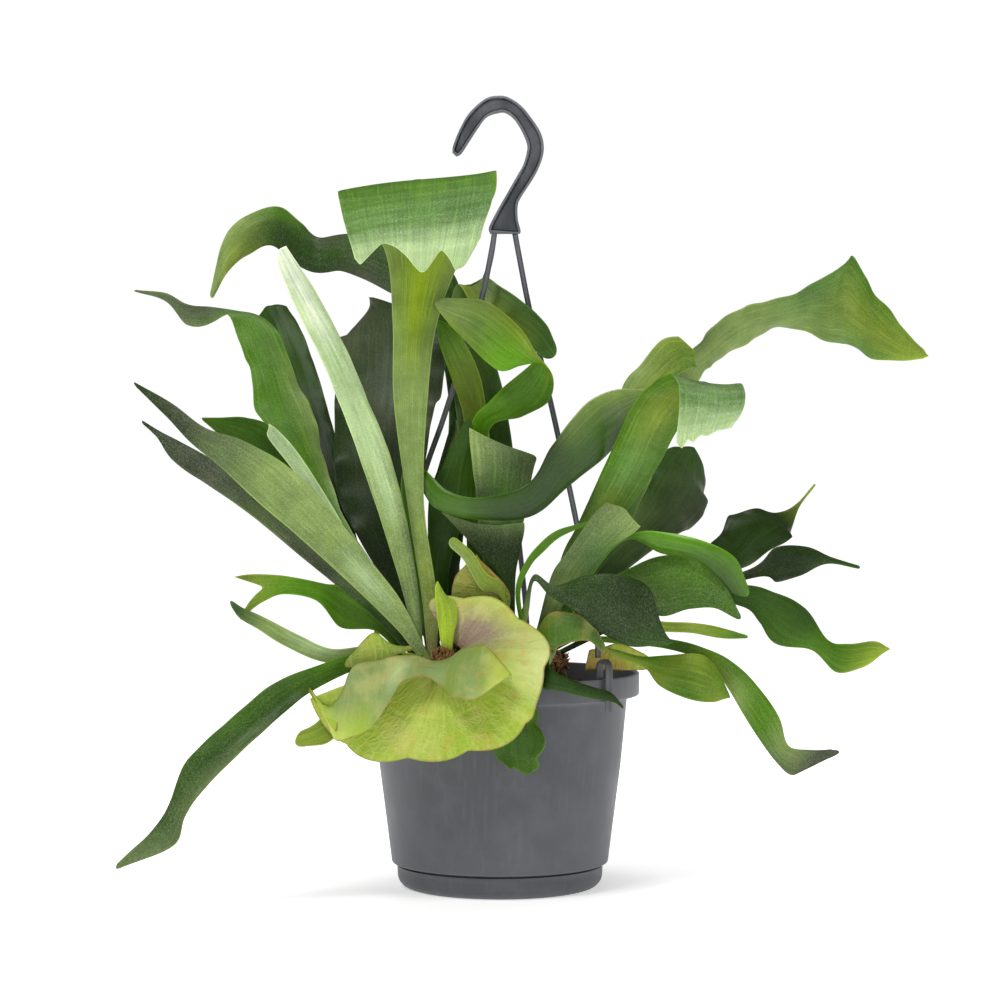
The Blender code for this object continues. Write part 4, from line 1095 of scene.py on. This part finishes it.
        (141, -64, 139, 134, -65, 127), (154, -69, 125, 144, -70, 110), (164, -73, 110, 153, -74, 96),
        (169, -76, 94, 162, -77, 84), (181, -80, 92, 170, -81, 77), (193, -82, 92, 178, -83, 80),
    ), front="LEAF, MID LEAF, MID, LEAF OLIVE, LEAF SAGE, LEAF, SAGE GREY, SLATE", back="SAGE",
       felt=(0.03, 0.1), cup=(1.2,), ripple=1.2),
    Frond("over_rim_frond", Finish.DEEP, (
        (30, -64, 150, 33, -64, 148), (29, -88, 142, 25, -89, 130), (36, -87, 136, 36, -88, 127),
        (53, -81, 129, 54, -82, 122), (65, -74, 125, 66, -74, 119), (72, -69, 117, 72, -69, 115),
    ), front="MID, DEEP, DARK DEEP, DARK", back="SAGE", felt=(0, 0.03)),
    Frond("pot_front_frond", Finish.DEEP, (
        (8, -66, 146, 14, -66, 146), (5, -84, 139, 14, -84, 139), (3, -90, 122, 18, -90, 122),
        (-3, -88, 102, 24, -88, 105), (-5, -86, 92, 24, -86, 90), (4, -85, 80, 19, -85, 78),
    ), front="SAGE", back="DEEP, DEEP MID, DEEP, MID x2", felt=(0.03, 0.05), ripple=2, tip=((0, 0.5),
       (0.2, 0), (0.35, 0.25), (0.5, 0), (0.8, -0.1), (1, 0.4)), scallop=(4, 16)),
    Frond("round_shield", Finish.SHIELD, (
        (-44, -84, 140, -102, -105, 112), (-42, -88, 136, -88, -107, 95), (-38, -90, 134, -62, -107, 88),
        (-33, -90, 133, -36, -107, 89), (-28, -89, 134, -7, -105, 95), (-25, -87, 137, 17, -103, 108),
        (-24, -84, 141, 21, -101, 123), (-23, -81, 145, 29, -96, 148), (-23, -78, 149, 17, -88, 166),
        (-24, -75, 152, -2, -81, 179), (-28, -74, 155, -24, -76, 183),
    ), front="LIME YELLOW LIME, YELLOW LIME LIME, YELLOW YELLOW LIME, YELLOW LIME LIME x2, "
       "PLUM YELLOW CREAM, PLUM PLUM YELLOW x2", back="OLIVE", ripple=0.7, scallop=(4, 22)),
    Frond("folded_shield_lobe", Finish.FELTED_SHIELD, (
        (-88, -110, 130, -99, -112, 111), (-85, -105, 142, -93, -117, 101), (-76, -103, 146, -78, -119, 106),
        (-62, -101, 148, -63, -117, 121), (-52, -99, 148, -56, -113, 135), (-40, -97, 146, -43, -110, 137),
        (-30, -97, 148, -34, -112, 133), (-20, -100, 154, -26, -118, 124), (-8, -105, 153, -15, -120, 125),
        (2, -110, 144, -2, -116, 133),
    ), front="YELLOW LIME LIME, SAGE SAGE YELLOW, SAGE SAGE LIME, SAGE SAGE SAGE, "
       "SAGE SILVER SAGE, SAGE SAGE SAGE, SAGE SAGE, SAGE OLIVE, OLIVE SAGE, LIME YELLOW", back="LIME, OLIVE",
       ripple=1.4, scallop=(1.8, 24)),
    Frond("cone_shield", Finish.SHIELD, (
        (-60, -91, 148, -65, -89, 155), (-72, -92, 143, -74, -90, 161), (-87, -93, 141, -87, -92, 148),
    ), front="OLIVE, OLIVE LIME, OLIVE", back="OLIVE", cup=(0.8,)),
    Frond("young_upright_frond", Finish.GREEN, (
        (-35, -81, 157, -27, -81, 158), (-37, -80, 172, -25, -80, 174), (-38, -80, 185, -32, -80, 183),
        (-37, -80, 190, -36, -80, 190),
    ), front="LIME x2, LIME OLIVE", back="LIME", felt=(0.1, 0.1), ripple=0.4),
    Frond("upright_shield", Finish.SHIELD, (
        (-20, -57, 152, -2, -56, 152), (-28, -63, 175, 6, -62, 176), (-27, -65, 190, 3, -64, 188),
        (-19, -66, 201, -6, -66, 197),
    ), front="LEAF, OLIVE LEAF, OLIVE AMBER", back="OLIVE", cup=(1.2,)),
    Frond("arching_right_shield", Finish.FELTED_SHIELD, (
        (17, -66, 148, 18, -65, 154), (28, -73, 149, 29, -72, 171), (41, -74, 154, 44, -73, 171),
        (52, -75, 155, 54, -75, 165), (59, -76, 149, 60, -76, 156),
    ), front="OLIVE", back="MID, LEAF, LEAF MID, MID", cup=(1.2,)),
    Frond("small_orange_shield", Finish.SHIELD, (
        (60, -40, 135, 62, -39, 149), (71, -39, 135, 72, -38, 151), (86, -38, 135, 86, -37, 145),
    ), front="OLIVE", back="AMBER, AMBER LIME, LIME", cup=(0.8,)),
)


# --------------------------------------------------------------------------------------
# Pot, hanger, potting mix and rhizomes
# --------------------------------------------------------------------------------------


@dataclass
class HangingPot:
    """Moulded pot with a thick rim, standing in a clipped-on saucer."""

    rim_radius: float = 85.0
    rim_top: float = 131.0
    rim_bottom: float = 117.5
    body_top_radius: float = 77.5
    body_middle: tuple[float, float] = (73.8, 76.0)
    foot_radius: float = 66.0
    foot_step: float = 14.6
    plug_radius: float = 60.4
    underside: float = 2.4
    wall: float = 1.6
    saucer_radius: float = 62.8
    saucer_height: float = 13.4
    saucer_wall: float = 2.2
    segments: int = 192
    plastic: MouldedPolypropylene = MouldedPolypropylene("pot_moulded_polypropylene", "#4e4f53", "#6a6b70")

    def pot_profile(self) -> Array:
        """Outline of the pot's wall: down the inside from the axis and up the outside, with soft corners."""
        inner = self.rim_radius - 2.4
        body = self.body_top_radius
        corners = (
            (0.0, self.underside + 1.6, 0), (self.plug_radius - 2.2, self.underside + 1.6, 1.0),
            (self.plug_radius - 1.8, self.foot_step + 1.4, 1.0),
            (self.foot_radius - 1.9, self.foot_step + 2.0, 1.5),
            (self.body_middle[0] - self.wall, self.body_middle[1], 3.0),
            (body - self.wall, self.rim_bottom - 0.5, 1.0), (inner, self.rim_bottom + 2.0, 1.0),
            (inner, self.rim_top, 1.1), (self.rim_radius, self.rim_top, 1.1),
            (self.rim_radius, self.rim_bottom, 1.2), (body + 0.9, self.rim_bottom - 0.3, 0.7),
            (body, self.rim_bottom - 2.2, 0.8), (*self.body_middle, 3.0),
            (self.foot_radius, self.foot_step + 0.3, 1.4), (self.plug_radius, self.foot_step, 0.4),
            (self.plug_radius - 0.6, self.underside, 0.8), (0.0, self.underside, 0),
        )
        return rounded_profile(corners)[::-1]

    def saucer_profile(self) -> Array:
        """Outline of the saucer's wall, with the small bead on its lip and the ring it stands on."""
        r = self.saucer_radius
        w = self.saucer_wall
        corners = (
            (0.0, w, 0), (r - 4.0, w, 1.5), (r - 1.3, 3.2, 1.0), (r - w, self.saucer_height, 0.3),
            (r, self.saucer_height, 0.4), (r - 0.1, 9.0, 0.5), (r - 0.6, 4.6, 2.0), (r - 4.4, 0.0, 3.0),
            (0.0, 0.0, 0),
        )
        return rounded_profile(corners)[::-1]

    def turned_piece(self, name: str, profile: Array, edges: Sequence[float]) -> None:
        """Turn a profile and show it, with wear that fades about 1.2 mm from its edges.

        Args:
            name: CAD node that it stands for.
            profile: Closed wall outline.
            edges: Heights of the edges that rub.
        """
        verts, faces = turned_surface(profile, self.segments)
        near = np.min(np.abs(verts[:, 2:] - np.array(edges)), axis=1)
        show_piece(name, verts, faces, self.plastic, worn=0.6 * np.exp(-((near / 1.2) ** 2)))

    def build(self) -> None:
        """Make the pot and its saucer."""
        self.turned_piece("pot", self.pot_profile(), (self.rim_top, self.rim_bottom, self.foot_step + 0.8))
        self.turned_piece("saucer", self.saucer_profile(), (self.saucer_height, 0.6))


@dataclass
class HookHanger:
    """Moulded hook, three thin strands and the clips that hold them on the rim."""

    thickness: float = 5.0
    border: float = 1.5
    recess: float = 1.5
    strand_width: float = 3.4
    strand_depth: float = 2.9
    groove: float = 0.55
    clip_width: float = 5.4
    clip_thickness: float = 1.7
    clip_squareness: float = 0.35
    clip_angles: tuple[tuple[str, float], ...] = (("right", -43.0), ("left", -163.0), ("back", 77.0))
    clip_path: tuple[tuple[float, float], ...] = (
        (80.6, 123.0), (80.6, 131.0), (80.7, 137.0), (81.6, 140.6), (84.3, 142.2), (87.0, 140.6),
        (88.0, 137.0), (88.1, 126.0), (87.9, 112.0),
    )
    hook_outer: tuple[tuple[float, float], ...] = (
        (-29.0, 447.2), (-28.4, 451.6), (-24.4, 461.5), (-18.3, 471.6), (-8.8, 479.8), (-0.6, 481.6),
        (5.5, 480.4), (12.8, 475.5), (19.2, 467.9), (24.8, 459.0), (26.7, 450.5), (25.4, 442.6),
        (21.0, 432.8), (12.8, 420.0), (10.8, 414.5), (11.0, 406.2), (12.6, 399.6), (11.8, 397.8),
    )
    hook_inner: tuple[tuple[float, float], ...] = (
        (-26.6, 444.8), (-23.6, 446.4), (-19.4, 452.6), (-14.0, 460.9), (-8.2, 468.5), (-0.7, 471.2),
        (3.7, 471.0), (8.5, 467.4), (12.8, 460.9), (16.0, 453.6), (16.5, 448.7), (14.2, 439.9),
        (10.5, 433.2), (3.6, 421.2), (0.5, 415.8), (-3.4, 408.8), (-6.8, 401.4), (-6.0, 397.8),
    )
    strands: dict[str, tuple[Point, ...]] = field(default_factory=lambda: {
        "left": (
            (-3.4, -1.0, 398.0), (-5.2, -2.4, 387.0), (-11.0, -5.0, 359.0), (-22.6, -8.6, 322.0),
            (-34.6, -12.0, 284.6), (-45.4, -15.0, 253.8), (-60.0, -19.0, 205.0),
            (-73.0, -22.6, 162.0), (-75.9, -23.2, 143.6),
        ),
        "right": (
            (9.1, 0.0, 398.0), (12.4, -2.6, 380.0), (17.6, -8.0, 353.0), (27.4, -18.0, 309.0),
            (34.3, -25.0, 278.0), (43.6, -35.0, 234.0), (52.0, -46.0, 190.0), (57.4, -53.2, 156.0),
            (58.2, -54.3, 143.6),
        ),
        "back": (
            (-3.4, 1.4, 398.0), (-5.2, 9.0, 386.0), (-7.6, 16.0, 376.0), (-10.6, 22.0, 366.0),
            (-10.6, 31.0, 346.0), (-2.0, 46.0, 305.0), (8.0, 63.0, 240.0), (15.0, 74.0, 180.0),
            (17.9, 77.2, 143.6),
        ),
    })
    plastic: MouldedPolypropylene = MouldedPolypropylene(
        "hanger_moulded_polypropylene", "#3f4044", "#77787d", roughness=0.4, grain=0.5)

    def hook(self) -> None:
        """Make the hook: a bar between its outer and inner edges, with a sunk web on both faces.

        Half the thickness at distance d from an edge rises from 0.72 of the full one over the first 0.9 mm,
        stays for the border's width, and drops by the recess in the web, with a groove e^-(x/0.3)^2 along
        the border's foot.
        """
        rows, columns = 150, 41
        t = np.linspace(0.0, len(self.hook_outer) - 1.0, rows)
        outer = through_stations(np.array(self.hook_outer), t)
        inner = through_stations(np.array(self.hook_inner), t)
        u = np.linspace(0.0, 1.0, columns)
        flat = outer[:, None] * (1 - u)[None, :, None] + inner[:, None] * u[None, :, None]
        width = np.linalg.norm(outer - inner, axis=1)[:, None]
        run = run_lengths(0.5 * (outer + inner))
        ends = np.minimum(run, run[-1] - run)[:, None]
        edge = np.minimum(np.minimum(u, 1 - u)[None] * width, ends)
        half = 0.5 * self.thickness * (0.72 + 0.28 * smooth(edge, 0.0, 0.9))
        web = smooth(edge, self.border, self.border + 0.3)
        groove = 0.5 * np.exp(-(((edge - self.border - 0.5) / 0.3) ** 2))
        half = half - self.recess * web - groove
        back, front = (np.stack([flat[..., 0], depth, flat[..., 1]], -1) for depth in (half, -half))
        verts, quads = closed_shell(back, front)
        # painted highlight: the raised borders are drawn pale, and the sunk web keeps the darker plastic
        worn = np.tile((0.75 * (1 - web)).ravel(), 2)
        show_piece("hanging_hook", verts, [quads], self.plastic, 40.0, worn=worn)

    def strand_section(self, points: int = 28) -> Array:
        """Oval strand section with a shallow groove down its front and back: y is less by g e^-(x/0.6)^2."""
        angle = np.linspace(0.0, math.tau, points, endpoint=False)
        x = 0.5 * self.strand_width * np.cos(angle)
        y = 0.5 * self.strand_depth * np.sin(angle)
        return np.stack([x, y - np.sign(y) * self.groove * np.exp(-((x / 0.6) ** 2))], -1)

    def strand(self, side: str) -> None:
        """Make the strand of that name along its listed path."""
        stations = np.array(self.strands[side])
        path = through_stations(stations, np.linspace(0.0, len(stations) - 1.0, 120))
        facing = np.broadcast_to(np.array([1.0, 0.0, 0.0]), path.shape)
        section = self.strand_section()
        verts, faces = swept_tube(path, facing, section)
        # painted highlight: a pale line down the middle of the strand's front and back faces
        crest_highlight = np.exp(-((section[:, 0] / 0.7) ** 2))
        show_piece("hanger_strand_" + side, verts, faces, self.plastic, worn=np.tile(0.8 * crest_highlight, len(path)))

    def clip(self, side: str, degrees: float) -> None:
        """Make one strap clip that hooks over the rim.

        Args:
            side: Name of the clip.
            degrees: Its place round the pot.
        """
        path = through_stations(np.array(self.clip_path), np.linspace(0.0, len(self.clip_path) - 1.0, 60))
        angle = math.radians(degrees)
        out = np.array([math.cos(angle), math.sin(angle), 0.0])
        side_way = np.array([-out[1], out[0], 0.0])
        middle = path[:, :1] * out + path[:, 1:] * np.array([0.0, 0.0, 1.0])
        around = np.linspace(0.0, math.tau, 32, endpoint=False)
        ball = np.stack([np.cos(around), np.sin(around)], -1)
        half = 0.5 * np.array([self.clip_width, self.clip_thickness])
        section = half * np.sign(ball) * np.abs(ball) ** self.clip_squareness
        verts, faces = swept_tube(middle, np.broadcast_to(side_way, middle.shape), section)
        # drawn pale toward both side edges
        worn = np.tile(0.6 * np.abs(section[:, 0]) / self.clip_width, len(path))
        show_piece("rim_clip_" + side, verts, faces, self.plastic, 50.0, worn=worn)

    def build(self) -> None:
        """Make the hook, its strands and its clips."""
        self.hook()
        for side in self.strands:
            self.strand(side)
        for side, degrees in self.clip_angles:
            self.clip(side, degrees)


@dataclass
class PottingMix:
    """Bark mix that fills the pot, with loose flakes on top."""

    top: float = 122.0
    radius: float = 75.2
    flakes: int = 520
    flake_size: Point = (6.0, 3.6, 2.0)
    bark: RottedBark = RottedBark("composted_pine_bark")

    def flake(self) -> tuple[Array, Array]:
        """One flake: a cube whose faces have four quads each, drawn toward a ball for rounded corners."""
        side = np.array([-1.0, 0.0, 1.0])
        a, b = np.meshgrid(side, side, indexing="ij")
        one = np.ones_like(a)
        sheets = [(one, a, b), (-one, b, a), (b, one, a), (a, -one, b), (a, b, one), (b, a, -one)]
        verts = np.concatenate([np.stack(sheet, -1).reshape(-1, 3) for sheet in sheets])
        quads = np.concatenate([grid_quads(np.arange(9).reshape(3, 3)) + 9 * k for k in range(6)])
        keys, which = np.unique(verts, axis=0, return_inverse=True)
        reach = np.maximum(np.linalg.norm(keys, axis=1, keepdims=True), 1.0)
        return keys / reach**0.55, which.ravel()[quads]

    def build(self) -> None:
        """Make the body of the mix with its heaped top and scatter the flakes over it.

        Each flake is the same form times three sizes, turned by two angles and set on the heap, with the
        draws taken as whole arrays from one seeded generator.
        """
        draw = np.random.default_rng(7)
        profile = rounded_profile((
            (0.0, 5.0, 0), (57.6, 5.0, 0.5), (57.6, 17.0, 0.5), (63.2, 17.4, 0.5), (71.4, 76.0, 2.0),
            (self.radius, self.top - 3.0, 2.0), (self.radius - 12.0, self.top - 1.0, 2.0),
            (0.0, self.top + 1.0, 0)))
        body, faces = turned_surface(profile, 96)
        base, quads = self.flake()
        count = self.flakes
        scale = np.array(self.flake_size) * 0.5 * draw.uniform(0.45, 1.35, (count, 1))
        scale = scale * draw.uniform(0.7, 1.3, (count, 3))
        yaw, pitch = draw.uniform(0, math.tau, count), draw.normal(0.0, 0.35, count)
        jag = 1 + draw.normal(0.0, 0.13, (count, len(base), 1))
        form = base[None] * scale[:, None] * jag
        c, s = np.cos(pitch)[:, None], np.sin(pitch)[:, None]
        x, y, z = form[..., 0] * c - form[..., 2] * s, form[..., 1], form[..., 0] * s + form[..., 2] * c
        c, s = np.cos(yaw)[:, None], np.sin(yaw)[:, None]
        spread = self.radius * np.sqrt(draw.uniform(0.0, 0.93, count))
        turn = draw.uniform(0, math.tau, count)
        level = self.top - 1.0 + draw.uniform(0.0, 1.6, count) - 2.0 * (spread / self.radius) ** 2
        flakes = np.stack([x * c - y * s + (spread * np.cos(turn))[:, None],
                           x * s + y * c + (spread * np.sin(turn))[:, None], z + level[:, None]], -1)
        numbers = quads[None] + (np.arange(count) * len(base))[:, None, None] + len(body)
        verts = np.concatenate([body, flakes.reshape(-1, 3)])
        show_piece("potting_mix", verts, [*faces, numbers.reshape(-1, 4)], self.bark, 45.0)


@dataclass
class Rhizomes:
    """Creeping rhizomes that the fronds grow from, under rusty scales, and the bud at the front one."""

    lumps: dict[str, tuple[Point, Point]] = field(default_factory=lambda: {
        "rhizome_left": ((-43, -56, 137), (13, 10, 8)),
        "rhizome_centre": ((-14, -2, 137), (19, 20, 11)),
        "rhizome_right": ((27, -34, 137), (12, 20, 10)),
    })
    scale_length: float = 6.0
    scales_each: int = 260
    bud: tuple[Point, float] = ((-33.0, -83.0, 145.0), 5.5)
    finish: RhizomeScales = RhizomeScales("rhizome_rusty_scales")

    def lump(self, centre: Array, half: Array, phase: float) -> tuple[Array, list[Array]]:
        """Ball at longitude a and latitude b of radius 1 + 0.07 sin(5a + p) cos(4b) + 0.05 sin(9a + 3b)."""
        a = np.linspace(0.0, math.tau, 48, endpoint=False)
        b = np.linspace(-math.pi / 2, math.pi / 2, 26)
        aa, bb = np.meshgrid(a, b[1:-1])
        radius = 1 + 0.07 * np.sin(5 * aa + phase) * np.cos(4 * bb) + 0.05 * np.sin(9 * aa + 3 * bb)
        ball = np.stack([np.cos(bb) * np.cos(aa), np.cos(bb) * np.sin(aa), np.sin(bb)], -1)
        poles = np.array([[0, 0, -1.0], [0, 0, 1.0]])
        verts, faces = capped_rings(ball * radius[..., None], *poles)
        return verts * half + centre, faces

    def scales(
        self, centre: Array, half: Array, draw: np.random.Generator, length: float
    ) -> tuple[Array, Array, Array]:
        """Pointed scales that lie back on a lump: each a closed wedge of six points, base, shoulders and tip.

        Args:
            centre: Middle of the lump.
            half: Its half sizes.
            draw: Generator for places, leans and sizes.
            length: Middle length of a scale.

        Returns:
            Vertices, quads and the share of the way to the tip at each vertex.
        """
        count = self.scales_each
        a = draw.uniform(0, math.tau, count)
        b = np.arcsin(draw.uniform(-0.55, 1.0, count))
        out = np.stack([np.cos(b) * np.cos(a), np.cos(b) * np.sin(a), np.sin(b)], -1)
        foot = out * half + centre
        lean = unit(draw.normal(0.0, 0.6, (count, 3)) + np.array([0.0, -0.6, 0.7]))
        way = unit(lean - out * np.sum(lean * out, axis=1, keepdims=True) + 0.35 * out)
        side = unit(np.cross(out, way))
        size = length * draw.uniform(0.6, 1.3, (count, 1))
        points = np.stack([
            foot - side * size * 0.16, foot + side * size * 0.16,
            foot + way * size * 0.45 + side * size * 0.2, foot + way * size * 0.45 - side * size * 0.2,
            foot + way * size + side * size * 0.02, foot + way * size - side * size * 0.02], axis=1)
        under = points - out[:, None] * 0.5
        verts = np.concatenate([points, under], axis=1)
        top = np.array([[0, 1, 2, 3], [3, 2, 4, 5]])
        low = top[:, ::-1] + 6
        ring = np.array([0, 1, 2, 4, 5, 3])
        wall = np.stack([np.roll(ring, -1), ring, ring + 6, np.roll(ring, -1) + 6], -1)
        quads = np.concatenate([top, low, wall])
        numbers = quads[None] + (np.arange(count) * 12)[:, None, None]
        tip = np.tile(np.array([0.0, 0.0, 0.5, 0.5, 1.0, 1.0] * 2), count)
        return verts.reshape(-1, 3), numbers.reshape(-1, 4), tip

    def build(self) -> None:
        """Make each rhizome, and put the bud into the left one's mesh."""
        draw = np.random.default_rng(11)
        for name, (centre, half) in self.lumps.items():
            parts = [(np.array(centre, float), np.array(half, float), self.scale_length)]
            if name == "rhizome_left":
                parts.append((np.array(self.bud[0]), np.full(3, self.bud[1]) * 0.9, 4.0))
            verts: list[Array] = []
            faces: list[Array] = []
            tips: list[Array] = []
            start = 0
            for middle, sizes, length in parts:
                body, body_faces = self.lump(middle, sizes, middle[0])
                flakes, flake_faces, tip = self.scales(middle, sizes, draw, length)
                faces += [block + start for block in body_faces] + [flake_faces + start + len(body)]
                verts += [body, flakes]
                tips += [np.full(len(body), 0.15), tip]
                start += len(body) + len(flakes)
            show_piece(name, np.concatenate(verts), faces, self.finish, 60.0, tip=np.concatenate(tips))


# --------------------------------------------------------------------------------------
# Studio
# --------------------------------------------------------------------------------------


@dataclass(frozen=True)
class LitBoard(Skin):
    """Matt white board, lit from within like a light table, so it stays white far off."""

    tone: str = "#f4f4f4"
    glow_near: float = 0.5
    glow_far: float = 0.9

    def recipe(self, mix: Nodes) -> Inputs:
        """Let the board glow more with the distance from the pot."""
        away = mix.add("VectorMath", {0: mix.place()}, "Value", operation="LENGTH")
        return {
            "Base Color": linear(self.tone),
            "Roughness": 0.9,
            "Specular IOR Level": 0.2,
            "Emission Color": (1.0, 1.0, 1.0, 1.0),
            "Emission Strength": mix.ranged(away, 0.06, 0.35, self.glow_near, self.glow_far),
        }


@dataclass
class Studio:
    """Pale floor, soft lamps, a sky that is white round the horizon and dimmer overhead, and the camera."""

    aim_height: float = 235.8
    lens: float = 108.0
    floor_half: float = 40000.0
    board: LitBoard = LitBoard("floor_matt_white_board")
    horizon_strength: float = 1.02
    zenith_strength: float = 0.12
    lamps: tuple[tuple[str, Point, float, float], ...] = (
        ("key", (-0.7, -1.1, 1.5), 0.5, 17.0),
        ("fill", (1.5, -0.7, 0.7), 0.6, 3.0),
        ("top", (0.1, 0.1, 1.9), 0.9, 15.0),
    )

    def floor(self) -> None:
        """Lay a large pale floor under the pot."""
        x, y = np.meshgrid([-self.floor_half, 0.0, self.floor_half], [-self.floor_half, 0.0, self.floor_half])
        verts = np.stack([x, y, np.zeros_like(x)], -1).reshape(-1, 3)
        mesh = make_mesh("studio_floor", verts, [grid_quads(np.arange(9).reshape(3, 3))])
        mesh.materials.append(self.board.material())
        floor = bpy.data.objects.new("studio_floor", mesh)
        bpy.context.scene.collection.objects.link(floor)

    def light(self) -> None:
        """Hang the lamps and set the sky."""
        world = bpy.data.worlds.new("studio_sky")
        world.use_nodes = True
        mix = Nodes(world.node_tree)
        height = mix.maths("ABSOLUTE", mix.add("SeparateXYZ", {0: mix.add("TexCoord", out="Generated")}, 2))
        strength = mix.ranged(height, 0.15, 0.22, self.horizon_strength, self.zenith_strength)
        mix.fill(world.node_tree.nodes["Background"], {"Color": (1.0, 1.0, 1.0, 1.0), "Strength": strength})
        bpy.context.scene.world = world
        target = np.array([0.0, 0.0, 0.22])
        for name, place, size, power in self.lamps:
            lamp = bpy.data.lights.new(name + "_softbox", "AREA")
            lamp.shape = "DISK"
            lamp.size = size
            lamp.energy = power
            holder = bpy.data.objects.new(name + "_softbox", lamp)
            holder.location = place
            x, y, z = np.array(place) - target
            holder.rotation_euler = (math.atan2(math.hypot(x, y), z), 0.0, math.atan2(x, -y))
            bpy.context.scene.collection.objects.link(holder)

    def camera(self) -> None:
        """Set the camera in front of the pot, looking slightly down."""
        lens = bpy.data.cameras.new("studio_camera")
        lens.lens = self.lens
        lens.sensor_width = 36.0
        lens.clip_end = 100.0
        camera = bpy.data.objects.new("studio_camera", lens)
        camera.location = (0.0, -EYE_DISTANCE * MM, EYE_HEIGHT * MM)
        drop = math.atan2(EYE_HEIGHT - self.aim_height, EYE_DISTANCE)
        camera.rotation_euler = (math.pi / 2 - drop, 0.0, 0.0)
        bpy.context.scene.collection.objects.link(camera)
        bpy.context.scene.camera = camera

    def build(self) -> None:
        """Set up the studio."""
        bpy.context.scene.view_settings.view_transform = "Standard"
        self.floor()
        self.light()
        self.camera()


def main() -> None:
    """Build the studio, the pot, its hanger and the fern."""
    logging.basicConfig(level=logging.INFO, format="%(name)s: %(message)s")
    Studio().build()
    HangingPot().build()
    HookHanger().build()
    PottingMix().build()
    Rhizomes().build()
    for frond in FRONDS:
        frond.build()


if __name__ == "__main__":
    main()
